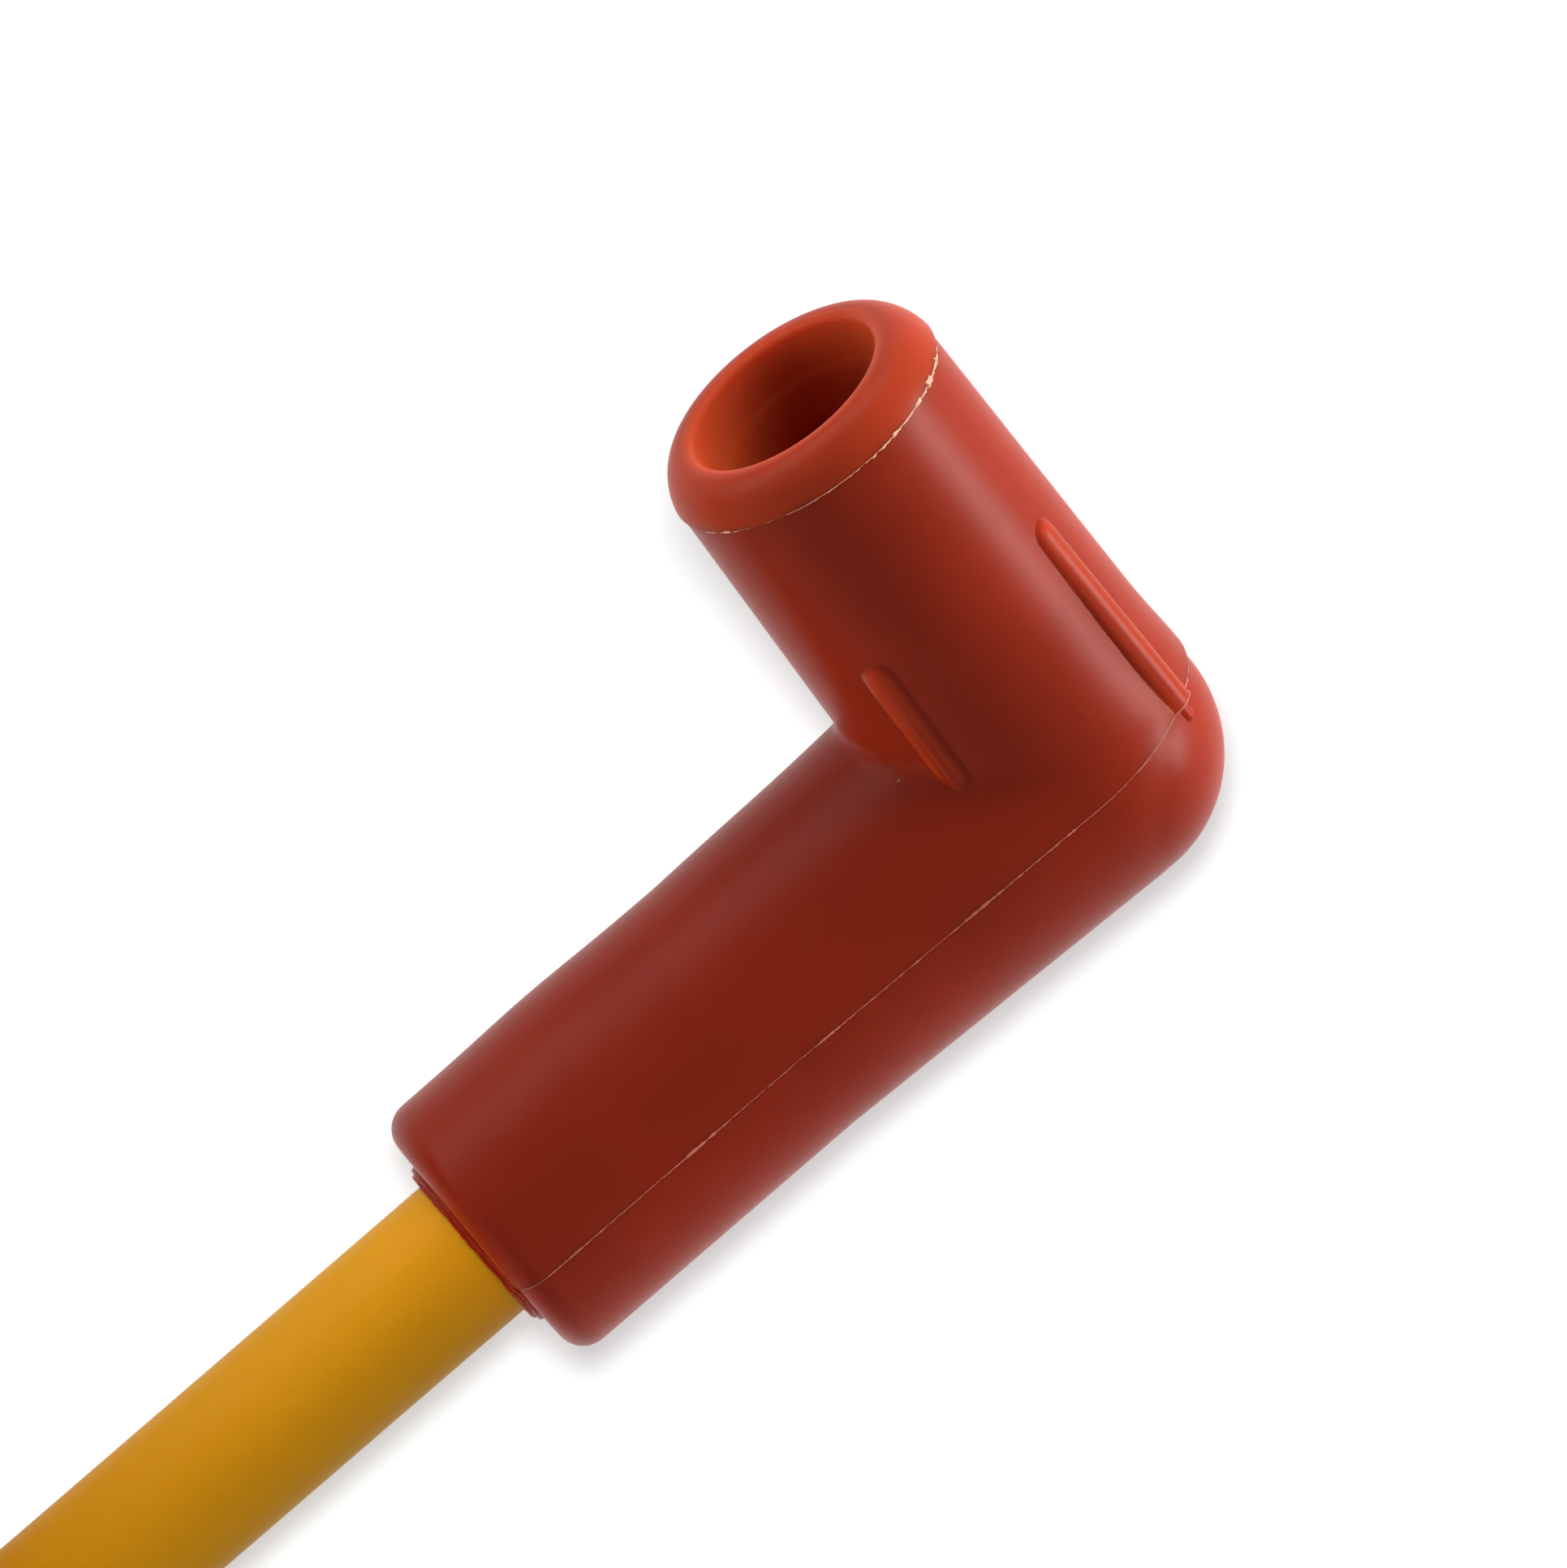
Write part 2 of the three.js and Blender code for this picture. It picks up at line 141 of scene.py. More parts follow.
class FarEndSizes(bpy.types.PropertyGroup):
    neck: length(7.2, "Neck radius", "Outside radius of the neck")
    neck_length: length(23, "Neck length", "From the cable entry to the flare")
    skirt: length(10, "Skirt radius", "Outside radius of the skirt")
    skirt_length: length(17, "Skirt length", "Length of the skirt past the flare")
    flare_length: length(6, "Flare length", "Length of the cone between neck and skirt")
    skirt_wall: length(2.4, "Skirt wall", "Wall of the skirt")
    cable_bore: length(4.06, "Cable bore radius", "Radius of the hole that the cable fills")
    grip: length(9, "Grip length", "How far the bore holds the cable")
    chamber: length(5.4, "Chamber radius", "Radius of the space round the crimp")
    barrel: length(4.8, "Barrel radius", "Outside radius of the crimp barrel")
    barrel_start: length(10.5, "Barrel start", "From the cable entry to the barrel")
    cone_start: length(22.5, "Cone start", "From the cable entry to the terminal's cone")
    cone_length: length(3, "Cone length", "Length of the terminal's cone")
    snap: length(3.4, "Snap radius", "Outside radius of the terminal's snap end")
    snap_length: length(13, "Snap length", "Length of the snap end")
    slot: length(1, "Slot width", "Width of the slots in the snap end")
    sheet: length(0.5, "Sheet", "Thickness of the terminal's sheet")


class TieSizes(bpy.types.PropertyGroup):
    width: length(5, "Tie width", "Width of the strap")
    thickness: length(1.2, "Tie thickness", "Thickness of the strap")
    corner: length(2.4, "Tie corner", "Outside rounding of the strap's turns")
    head_across: length(7, "Head across", "Width of the head across the strap's run")
    head_along: length(8, "Head along", "Length of the head")
    head_height: length(3.6, "Head height", "Height of the head")


class LeadColours(bpy.types.PropertyGroup):
    silicone: colour((0.27, 0.02, 0.0052), "Silicone", "Red of the two boots")
    # Lighter red mixed into the boots' colour as painted glow: painted light shining through the
    # lip, onto the ribs' flanks and into the mouth
    thin: colour((0.52, 0.066, 0.018), "Thin silicone", "Red of the thin lip, which lets light in")
    seam: colour((0.5, 0.13, 0.075), "Seam", "Fine edge of the two mould halves' seam")
    flash: colour((0.75, 0.4, 0.27), "Flash", "Pale edge of the moulding seams")
    jacket: colour((0.74, 0.335, 0.007), "Jacket", "Amber yellow of the cable")
    brass: colour((0.62, 0.42, 0.14), "Brass", "Colour of the terminals")
    steel: colour((0.55, 0.56, 0.58), "Steel", "Colour of the clip")
    core: colour((0.03, 0.028, 0.026), "Core", "Colour of the conductor core")
    tie: colour((0.014, 0.014, 0.016), "Tie", "Colour of the coil's tie")
    floor: colour((0.56, 0.595, 0.6), "Floor", "Colour of the surface")


class StageSizes(bpy.types.PropertyGroup):
    view_width: length(78.02, "View width", "Width of the picture at the cable leg's height")
    view_distance: length(2400, "View distance", "Height of the camera above the cable leg")
    view_turn: turn(40.78, "View turn", "Angle of the cable leg in the picture")
    view_left: length(11.35, "View left", "Picture centre, back along the cable leg")
    view_side: length(7.37, "View side", "Picture centre, to the plug leg's side")
    lamp_distance: length(1200, "Lamp distance", "From the boot to each lamp")
    lamp_size: length(900, "Lamp size", "Width of each lamp")
    horizon: share(0.36, "Horizon", "Level of the surroundings at the height of the surface")
    zenith: share(0.03, "Zenith", "Level of the surroundings overhead")
    floor_white: share(0.57, "Floor white", "Plain white that the camera sees in the surface")


# Places that the frame gives

cable_low, cable_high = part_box("cable_end")
LEG_HEIGHT = (cable_low.z + cable_high.z) / 2
EXIT = Vector((cable_low.x, (cable_low.y + cable_high.y) / 2, LEG_HEIGHT))

# Cable routes: x and y from the middle of the elbow boot's collar,
# z from the surface that the lead lies on

LEAD_ROUTE = [
    (-0.0003, 0, 0.00833), (-0.006, 0, 0.00833), (-0.012, 0, 0.0083),
    (-0.018, 0, 0.00813), (-0.024, 0, 0.00775), (-0.030, 0, 0.0072),
    (-0.0362, 0, 0.0066), (-0.044, 0, 0.00605), (-0.053, 0, 0.00565),
]
COIL_ENTRY = (-0.0625, 0, 0.0055)
TAIL_ROUTE = [
    (-0.0525, 0.080, 0.0260), (-0.0445, 0.080, 0.0253), (-0.0362, 0.080, 0.0233),
    (-0.029, 0.080, 0.0208), (-0.022, 0.080, 0.0182), (-0.015, 0.080, 0.0155),
    (-0.008, 0.080, 0.0131), (-0.001, 0.080, 0.0112), (0.005, 0.080, 0.01025),
    (0.0105, 0.080, 0.010), (0.017, 0.080, 0.010), (0.024, 0.080, 0.010),
    (0.0315, 0.080, 0.010),
]


# Modelling helpers


def in_millimetres(group):
    values = {}
    for name in type(group).__annotations__:
        value = getattr(group, name)
        is_angle = group.bl_rna.properties[name].unit == "ROTATION"
        values[name] = value if is_angle else value / MM
    return SimpleNamespace(**values)


def make_active(piece):
    bpy.ops.object.select_all(action="DESELECT")
    piece.select_set(True)
    bpy.context.view_layer.objects.active = piece


def tidy_shell(piece):
    make_active(piece)
    bpy.ops.object.mode_set(mode="EDIT")
    bpy.ops.mesh.select_all(action="SELECT")
    bpy.ops.mesh.remove_doubles(threshold=1e-5)
    bpy.ops.mesh.delete_loose()
    bpy.ops.mesh.select_all(action="SELECT")
    bpy.ops.mesh.normals_make_consistent(inside=False)
    bpy.ops.object.mode_set(mode="OBJECT")


def turned_body(name, outline, axis, steps=96):
    """Spins a closed outline of (radius, distance along the axis) points"""
    bpy.ops.object.select_all(action="DESELECT")
    bpy.ops.mesh.primitive_circle_add(vertices=len(outline), radius=1)
    piece = bpy.context.object
    piece.name = name
    for vertex, (radius, along) in zip(piece.data.vertices, outline):
        vertex.co = (radius, 0, along)
    bpy.ops.object.mode_set(mode="EDIT")
    bpy.ops.mesh.select_all(action="SELECT")
    bpy.ops.mesh.spin(steps=steps, angle=2 * math.pi, center=(0, 0, 0), axis=(0, 0, 1))
    bpy.ops.object.mode_set(mode="OBJECT")
    tidy_shell(piece)
    piece.data.transform(UP.rotation_difference(axis).to_matrix().to_4x4())
    return piece


def capsule(name, radius, start, end):
    """A round bar with round ends between two points"""
    axis = (end - start).normalized()
    span = (end - start).length
    ring_spacing = 0.3
    rings = max(1, round(span / ring_spacing))
    wall = [(radius, span * ring / rings) for ring in range(1, rings)]
    outline = arc((0, 0), radius, -90, 0, 10) + wall + arc((0, span), radius, 0, 90, 10)
    piece = turned_body(name, outline, axis, steps=48)
    piece.data.transform(Matrix.Translation(start))
    return piece


def arc(centre, radius, first, last, steps):
    points = []
    for step in range(steps + 1):
        angle = math.radians(first + (last - first) * step / steps)
        points.append((
            max(centre[0] + radius * math.cos(angle), 0),
            centre[1] + radius * math.sin(angle)))
    return points


def bend(first, corner, last, steps):
    points = []
    for step in range(steps + 1):
        t = step / steps
        points.append(tuple(
            (1 - t) ** 2 * a + 2 * t * (1 - t) * b + t ** 2 * c
            for a, b, c in zip(first, corner, last)))
    return points


def surface_tree(piece):
    mesh = bmesh.new()
    mesh.from_mesh(piece.data)
    tree = BVHTree.FromBMesh(mesh)
    mesh.free()
    return tree


def combine(piece, other, operation, fillet=0):
    """Joins or cuts a piece with another, which is used up, and may soften the joint"""
    trees = [surface_tree(piece), surface_tree(other)] if fillet else []
    make_active(piece)
    modifier = piece.modifiers.new("Combine", "BOOLEAN")
    modifier.operation = operation
    modifier.object = other
    modifier.solver = "MANIFOLD"
    bpy.ops.object.modifier_apply(modifier=modifier.name)
    bpy.data.objects.remove(other)
    if fillet:
        group = piece.vertex_groups.new(name="joint")
        near = [
            vertex.index for vertex in piece.data.vertices
            if all(tree.find_nearest(vertex.co, fillet)[0] for tree in trees)]
        group.add(near, 1, "REPLACE")
        smooth(piece, 4, "joint")
        piece.vertex_groups.clear()


def remesh(piece, size):
    make_active(piece)
    modifier = piece.modifiers.new("Even faces", "REMESH")
    modifier.mode = "VOXEL"
    modifier.voxel_size = size
    bpy.ops.object.modifier_apply(modifier=modifier.name)


def leave_out_faces(piece, share_kept):
    """Leaves out faces where the surface is even"""
    make_active(piece)
    modifier = piece.modifiers.new("Fewer faces", "DECIMATE")
    modifier.ratio = share_kept
    bpy.ops.object.modifier_apply(modifier=modifier.name)


def smooth(piece, iterations, group_name=""):
    make_active(piece)
    modifier = piece.modifiers.new("Soften", "SMOOTH")
    modifier.factor = 0.5
    modifier.iterations = iterations
    modifier.vertex_group = group_name
    bpy.ops.object.modifier_apply(modifier=modifier.name)


def shade(piece, degrees=35):
    make_active(piece)
    bpy.ops.object.shade_smooth_by_angle(angle=math.radians(degrees))


def dress(piece, made):
    piece.data.materials.clear()
    piece.data.materials.append(made)


# Materials


def node(tree, kind, location, values=None, **settings):
    """Adds a node with its settings, and its inputs' values by name or number"""
    made = tree.nodes.new(kind)
    made.location = location
    for name, value in settings.items():
        setattr(made, name, value)
    for title, value in (values or {}).items():
        made.inputs[title].default_value = value
    return made


def connect(tree, *wires):
    """Connects a node's output to another's input, for each wire"""
    for source, output, target, title in wires:
        tree.links.new(source.outputs[output], target.inputs[title])


def new_group(name, inputs, outputs):
    group = bpy.data.node_groups.new(name, "ShaderNodeTree")
    for title, kind, default in inputs:
        socket = group.interface.new_socket(title, in_out="INPUT", socket_type=kind)
        socket.default_value = default
    for title, kind in outputs:
        group.interface.new_socket(title, in_out="OUTPUT", socket_type=kind)
    entry = node(group, "NodeGroupInput", (-900, 0))
    leave = node(group, "NodeGroupOutput", (700, 0))
    return group, entry, leave


def surface_group():
    """Tone, roughness and fine unevenness of a moulded or drawn surface"""
    group, given, made = new_group(
        "moulded surface",
        [("Colour", "NodeSocketColor", (0.5, 0.5, 0.5, 1)),
         ("Speck Colour", "NodeSocketColor", (0.8, 0.8, 0.8, 1)),
         ("Tone Change", "NodeSocketFloat", 0.08),
         ("Roughness", "NodeSocketFloat", 0.4),
         ("Speck Amount", "NodeSocketFloat", 0.5)],
        [("Colour", "NodeSocketColor"), ("Roughness", "NodeSocketFloat"),
         ("Height", "NodeSocketFloat")])
    place = node(group, "ShaderNodeTexCoord", (-900, 300))
    cloud = node(group, "ShaderNodeTexNoise", (-500, 400), {"Scale": 130, "Detail": 3})
    fine = node(
        group, "ShaderNodeTexNoise", (-500, 150), {"Scale": 2600, "Detail": 4, "Roughness": 0.6})
    dots = node(group, "ShaderNodeTexVoronoi", (-500, -150), {"Scale": 520})
    for texture in (cloud, fine, dots):
        connect(group, (place, "Object", texture, "Vector"))
    tone = node(
        group, "ShaderNodeMapRange", (-250, 400), {"From Min": 0.3, "From Max": 0.7, "To Min": -1})
    amount = node(group, "ShaderNodeMath", (-50, 400), operation="MULTIPLY")
    value = node(group, "ShaderNodeMath", (120, 400), {1: 1}, operation="ADD")
    toned = node(group, "ShaderNodeHueSaturation", (300, 400))
    connect(
        group, (cloud, "Fac", tone, "Value"), (tone, "Result", amount, 0),
        (given, "Tone Change", amount, 1), (amount, 0, value, 0),
        (given, "Colour", toned, "Color"), (value, 0, toned, "Value"))
    near = node(group, "ShaderNodeMapRange", (-250, -150), {"From Min": 0.05, "From Max": 0.03})
    pick = node(group, "ShaderNodeSeparateColor", (-250, -380))
    rare = node(group, "ShaderNodeMath", (-50, -380), {1: 0.955}, operation="GREATER_THAN")
    speck = node(group, "ShaderNodeMath", (120, -150), operation="MULTIPLY")
    shown = node(group, "ShaderNodeMath", (300, -150), operation="MULTIPLY")
    mixed = node(group, "ShaderNodeMix", (480, 300), data_type="RGBA")
    connect(
        group, (dots, "Distance", near, "Value"), (dots, "Color", pick, 0), (pick, 0, rare, 0),
        (near, "Result", speck, 0), (rare, 0, speck, 1), (speck, 0, shown, 0),
        (given, "Speck Amount", shown, 1), (shown, 0, mixed, "Factor"),
        (toned, "Color", mixed, 6), (given, "Speck Colour", mixed, 7), (mixed, 2, made, "Colour"))
    rough = node(group, "ShaderNodeMath", (120, 100), {1: 0.16}, operation="MULTIPLY_ADD")
    lower = node(group, "ShaderNodeMath", (300, 100), {1: 0.08}, operation="SUBTRACT")
    height = node(group, "ShaderNodeMath", (300, -320), operation="ADD")
    connect(
        group, (fine, "Fac", rough, 0), (given, "Roughness", rough, 2), (rough, 0, lower, 0),
        (lower, 0, made, "Roughness"), (fine, "Fac", height, 0), (cloud, "Fac", height, 1),
        (height, 0, made, "Height"))
    return group


def material(name, base, speck, roughness, tone=0.08, speck_amount=0.5, bump=0.15,
             depth=0.00002, **shader_values):
    made = bpy.data.materials.new(name)
    made.use_nodes = True
    tree = made.node_tree
    shader = tree.nodes["Principled BSDF"]
    surface = node(
        tree, "ShaderNodeGroup", (-500, 0),
        {"Colour": (*base, 1), "Speck Colour": (*speck, 1), "Tone Change": tone,
         "Roughness": roughness, "Speck Amount": speck_amount},
        node_tree=bpy.data.node_groups.get("moulded surface") or surface_group())
    relief = node(tree, "ShaderNodeBump", (-250, -250), {"Strength": bump, "Distance": depth})
    connect(
        tree, (surface, "Colour", shader, "Base Color"),
        (surface, "Roughness", shader, "Roughness"), (surface, "Height", relief, "Height"),
        (relief, "Normal", shader, "Normal"))
    for title, value in shader_values.items():
        shader.inputs[title.replace("_", " ").title().replace("Ior", "IOR")].default_value = value
    return made


def silicone_material(colours):
    """Red silicone, with a lighter red mixed in where the piece's own mask paints light: painted
    glow on the lip and ribs, painted light in the mouth
    """
    made = material(
        "red silicone", colours.silicone, colours.flash, 0.36, speck_amount=0.35,
        subsurface_weight=0.6, subsurface_radius=(0.003, 0.0006, 0.0003),
        subsurface_scale=1.0, specular_ior_level=0.09)
    tree = made.node_tree
    surface = next(each for each in tree.nodes if each.type == "GROUP")
    # The painted light mask mixes the lighter painted glow red into the colour
    mask = node(tree, "ShaderNodeAttribute", (-900, 150), attribute_name="thin")
    mix = node(
        tree, "ShaderNodeMix", (-700, 150),
        {6: (*colours.silicone, 1), 7: (*colours.thin, 1)}, data_type="RGBA")
    connect(tree, (mask, "Fac", mix, "Factor"), (mix, 2, surface, "Colour"))
    return made


def flash_material(colours):
    return material("pale flash", colours.flash, colours.silicone, 0.5, tone=0.25)


def seam_material(colours):
    return material("mould seam", colours.seam, colours.silicone, 0.5, tone=0.25)


def jacket_material(colours):
    return material(
        "amber jacket", colours.jacket, colours.jacket, 0.5, tone=0.02, speck_amount=0,
        bump=0.12, subsurface_weight=0.5, subsurface_radius=(0.002, 0.0009, 0.0003),
        subsurface_scale=1.0, specular_ior_level=0.1)


def brass_material(colours):
    return material(
        "rolled brass", colours.brass, colours.brass, 0.3, tone=0.12, speck_amount=0,
        bump=0.1, metallic=1.0)


def steel_material(colours):
    return material(
        "drawn steel", colours.steel, colours.steel, 0.28, tone=0.1, speck_amount=0,
        bump=0.1, metallic=1.0)


def core_material(colours):
    return material(
        "conductor core", colours.core, colours.steel, 0.8, tone=0.3, speck_amount=0.3,
        bump=0.5, depth=0.00005)


def tie_material(colours):
    return material(
        "black tie plastic", colours.tie, colours.steel, 0.5, tone=0.2, speck_amount=0.15,
        bump=0.3)


# Elbow boot, modelled in millimetres with its axes crossing at the origin: the cable
# leg along -X and the plug leg along its own axis, leaning away from +Z


def plug_axis(boot):
    lean = boot.leg_angle - math.pi / 2
    return Vector((math.sin(lean), 0, math.cos(lean)))


def boot_place(boot):
    """From the boot's own millimetres to the row's metres"""
    corner = EXIT + Vector(((boot.cable_leg_length + boot.collar_height) * MM, 0, 0))
    tip = Matrix.Rotation(boot.leg_lift - math.pi / 2, 4, "X")
    return Matrix.Translation(corner) @ tip @ Matrix.Scale(MM, 4)


# How far a cutting shape passes the face that it cuts
CUT_PAST = 1


def cable_leg(boot):
    """The cable leg, with its round end past the corner"""
    end = boot.cable_leg_length
    outline = [
        (radius, along * boot.elbow_reach / boot.elbow)
        for radius, along in arc((0, 0), boot.elbow, -90, 0, 24)]
    outline.append((boot.cable_leg, boot.cable_leg_taper))
    outline += arc(
        (boot.cable_leg - boot.cable_leg_edge, end - boot.cable_leg_edge),
        boot.cable_leg_edge, 0, 90, 12)
    outline.append((0, end))
    return turned_body("cable_leg", outline, Vector((-1, 0, 0)), steps=128)


def plug_leg(boot):
    """The plug leg, with its lip"""
    start = boot.plug_leg_length - boot.lip_height
    crown = boot.plug_leg_length
    outline = [(0, 0), (boot.plug_leg_base, 0), (boot.plug_leg, start)]
    outline += bend(
        (boot.plug_leg, start), (boot.plug_leg - boot.lip_turn, start + boot.lip_shoulder),
        (boot.crown, crown), 14)[1:]
    outline.append((0, crown))
    return turned_body("plug_leg", outline, plug_axis(boot), steps=128)


def outside_corner(boot):
    """The full round corner outside the elbow"""
    bpy.ops.object.select_all(action="DESELECT")
    bpy.ops.mesh.primitive_uv_sphere_add(segments=96, ring_count=48, radius=boot.corner)
    ball = bpy.context.object
    ball.data.transform(Matrix.Scale(boot.corner_width / 2 / boot.corner, 4, (0, 1, 0)))
    ball.data.transform(Matrix.Translation((boot.corner_out, 0, -boot.corner_drop)))
    return ball


def rib_direction(boot, angle, side):
    across = Vector((0, 1, 0)).cross(plug_axis(boot)).normalized()
    return across * math.cos(angle) + Vector((0, side, 0)) * math.sin(angle)


def rib_bar(boot, angle, side, foot, top, foot_height, top_height, radius):
    """A round-backed rib of the plug leg, sunk so that its back stands out a little"""
    axis = plug_axis(boot)
    out = rib_direction(boot, angle, side)
    seam = boot.plug_leg_length - boot.lip_height

    def centre(along, stand):
        wall = boot.plug_leg_base + (boot.plug_leg - boot.plug_leg_base) * along / seam
        return out * (wall + stand - radius) + axis * along

    cap = math.sqrt(radius ** 2 - (radius - top_height) ** 2)
    return capsule("rib", radius, centre(foot, foot_height), centre(top - cap, top_height))


def boot_ribs(boot):
    """Two long ribs and two short ones, and the stub below each long rib's foot"""
    ribs = []
    for side in (-1, 1):
        outer = rib_bar(
            boot, boot.outer_rib_angle, side, -1, boot.outer_rib_top,
            boot.rib_foot_height, boot.rib_top_height, boot.rib)
        cut_flat(outer, (0, 0, 0), (0, 0, 1))
        stub = rib_bar(
            boot, boot.outer_rib_angle, side, foot=-0.5, top=1.5,
            foot_height=0.3, top_height=0.1, radius=0.5)
        inner = rib_bar(
            boot, boot.inner_rib_angle, side, boot.inner_rib_foot, boot.inner_rib_top,
            boot.rib_top_height, boot.rib_top_height, boot.rib)
        ribs += [outer, stub, inner]
    return ribs


def cable_cavity(boot):
    """The cable's bore and the space round the crimp, as the shape that is cut out"""
    outline = arc((0, 0), boot.chamber, -90, 0, 12)
    past = boot.cable_leg_length + boot.collar_height + CUT_PAST
    outline += [
        (boot.chamber, boot.chamber_end), (boot.cable_bore, boot.chamber_end),
        (boot.cable_bore, past), (0, past)]
    return turned_body("cable_cavity", outline, Vector((-1, 0, 0)))


def plug_cavity(boot):
    """The mouth, its narrow ring and the bore behind, as the shape that is cut out"""
    crown = boot.plug_leg_length
    seal_top = crown - boot.seal_depth
    seal_foot = seal_top - boot.seal_length
    edge = boot.mouth_round
    slope_foot = seal_foot - 2.5
    slope_top = seal_foot - 1.5
    outer = boot.mouth + edge + 1.2
    mouth_wall = (boot.mouth - 0.3, seal_top + 0.5)
    seal_edge = (boot.seal + 0.1, seal_top - 0.6)
    middle = ((mouth_wall[0] + boot.seal + 0.1) / 2, seal_top)
    outline = [(0, 0), (boot.bore, 0), (boot.bore, slope_foot)]
    outline += bend((boot.bore, slope_foot), (boot.seal, slope_top), (boot.seal, seal_foot), 8)[1:]
    outline += bend(seal_edge, (boot.seal + 0.12, seal_top - 0.2), middle, 8)
    outline += bend(middle, (mouth_wall[0] - 0.02, seal_top + 0.2), mouth_wall, 8)[1:]
    outline += arc((boot.mouth + edge, crown - edge), edge, 180, 100, 8)[1:]
    outline += [(outer, crown + 0.25), (outer, crown + CUT_PAST), (0, crown + CUT_PAST)]
    return turned_body("plug_cavity", outline, plug_axis(boot), steps=160)


def soften_corner(piece, boot):
    """Rounds the hollow corner between the two legs"""
    least_height = 1
    last_place = 7
    reach = 1.3
    least_weight = 0.02
    group = piece.vertex_groups.new(name="corner")
    axis = plug_axis(boot)
    for vertex in piece.data.vertices:
        place = vertex.co
        from_cable_leg = math.hypot(place.y, place.z) - boot.elbow
        from_plug_leg = (place - axis * place.dot(axis)).length - boot.plug_leg_base
        if place.z < least_height or place.x > last_place:
            continue
        distance = math.hypot(from_cable_leg, from_plug_leg)
        weight = math.exp(-(distance / reach) ** 2)
        if weight > least_weight:
            group.add([vertex.index], weight, "REPLACE")
    smooth(piece, 45, "corner")
    piece.vertex_groups.clear()


# The cable leg's inner side swells over the crimp and is slimmer by the corner: middle of
# each change, its half length and its height
SWELLS = [(-28, 4, 0.16), (-11, 4.5, -0.1)]


def swell_cable_leg(piece):
    corner_side = -1
    end_face = 6
    for vertex in piece.data.vertices:
        x, y, z = vertex.co
        radius = math.hypot(y, z)
        if x > corner_side or z < 0 or radius <= end_face:
            continue
        rise = sum(
            height * math.exp(-((x - middle) / half_length) ** 2)
            for middle, half_length, height in SWELLS)
        rise *= (z / radius) ** 2
        vertex.co += Vector((0, y, z)) / radius * rise


def cut_loop(piece, place, normal):
    """Adds a row of edges where a plane meets a piece"""
    make_active(piece)
    bpy.ops.object.mode_set(mode="EDIT")
    bpy.ops.mesh.select_all(action="SELECT")
    bpy.ops.mesh.bisect(plane_co=place, plane_no=normal)
    bpy.ops.object.mode_set(mode="OBJECT")


def cut_flat(piece, place, normal):
    """Keeps what lies on the normal's side of a plane, and closes it"""
    make_active(piece)
    bpy.ops.object.mode_set(mode="EDIT")
    bpy.ops.mesh.select_all(action="SELECT")
    bpy.ops.mesh.bisect(plane_co=place, plane_no=normal, use_fill=True, clear_inner=True)
    bpy.ops.object.mode_set(mode="OBJECT")


def raise_side(piece, place, normal, height, fade, at_elbow=0):
    """Steps a moulded half up along a plane, and fades the step out away from it"""
    wall = 0.03
    elbow_start = 1
    elbow_run = 5
    cut_loop(piece, place, normal)
    cut_loop(piece, place + normal * wall, normal)
    moves = []
    for vertex in piece.data.vertices:
        away = (vertex.co - place).dot(normal)
        if away > wall / 2:
            more = at_elbow * min(max((vertex.co.x - elbow_start) / elbow_run, 0), 1)
            step = (height + more) * math.exp(-(away / fade) ** 2)
            moves.append((vertex, vertex.normal * step))
    for vertex, move in moves:
        vertex.co += move


def moulded_body(boot):
    """Both legs, the full corner, the mould halves' steps and the ribs, still solid"""
    body = cable_leg(boot)
    combine(body, plug_leg(boot), "UNION")
    combine(body, outside_corner(boot), "UNION")
    remesh(body, boot.grain)
    soften_corner(body, boot)
    smooth(body, 4)
    swell_cable_leg(body)
    raise_side(body, Vector((0, 0, 0)), UP, boot.seam_step, 2.5, at_elbow=0.08)
    axis = plug_axis(boot)
    seam = boot.plug_leg_length - boot.lip_height
    raise_side(body, axis * seam, axis, boot.lip_step, 1.4)
    for rib in boot_ribs(boot):
        combine(body, rib, "UNION", 0.2)
    return body


# The seam lies on the step's own wall, just above the parting plane
SEAM_RISE = 0.015

# A distance from an axis at which every point is outside the boot
OUTSIDE = 20


def surface_point(tree, outside, aim):
    """Where a line from outside the boot towards a point first meets its surface"""
    return tree.ray_cast(outside, (aim - outside).normalized())[0]


def seam_path(tree, boot, side, end_steps=18, leg_steps=260):
    """Points of the parting seam along one side and half of the corner"""
    past_edge = 6
    edge = boot.cable_leg_edge
    edge_start = boot.cable_leg_length - edge
    turn_at = Vector((-edge_start, side * (boot.cable_leg - edge), SEAM_RISE))
    points = []
    for step in range(end_steps + 1):
        angle = math.radians(90 * step / end_steps)
        out = Vector((-math.cos(angle), side * math.sin(angle), 0))
        points.append(surface_point(tree, turn_at + out * past_edge, turn_at))
    for step in range(1, leg_steps):
        middle = Vector((-edge_start * (1 - step / leg_steps), 0, SEAM_RISE))
        points.append(surface_point(tree, middle + Vector((0, side * OUTSIDE, 0)), middle))
    middle = UP * SEAM_RISE
    for degrees in range(90, -1, -1):
        angle = math.radians(degrees)
        out = Vector((math.cos(angle), side * math.sin(angle), 0))
        points.append(surface_point(tree, out * OUTSIDE + middle, middle))
    return [point for point in points if point]


# Stretches of the lip's seam with more flash: middle and half width in degrees round the
# leg from its upper side, and how much more
RAGGED_LIP = [(-70, 20, 0.9), (11, 18, 0.8), (60, 20, 1.7), (150, 25, 0.8), (-140, 20, 0.6)]


def lip_path(tree, boot, steps=560):
    """Points of the ring seam under the lip, which waves a little"""
    wave = 0.05
    waves = 9
    axis = plug_axis(boot)
    height = boot.plug_leg_length - boot.lip_height
    points = []
    for step in range(steps):
        out = rib_direction(boot, 2 * math.pi * step / steps, 1)
        centre = axis * (height + wave * noise.noise(out * waves))
        points.append(surface_point(tree, centre + out * OUTSIDE, centre))
    return points


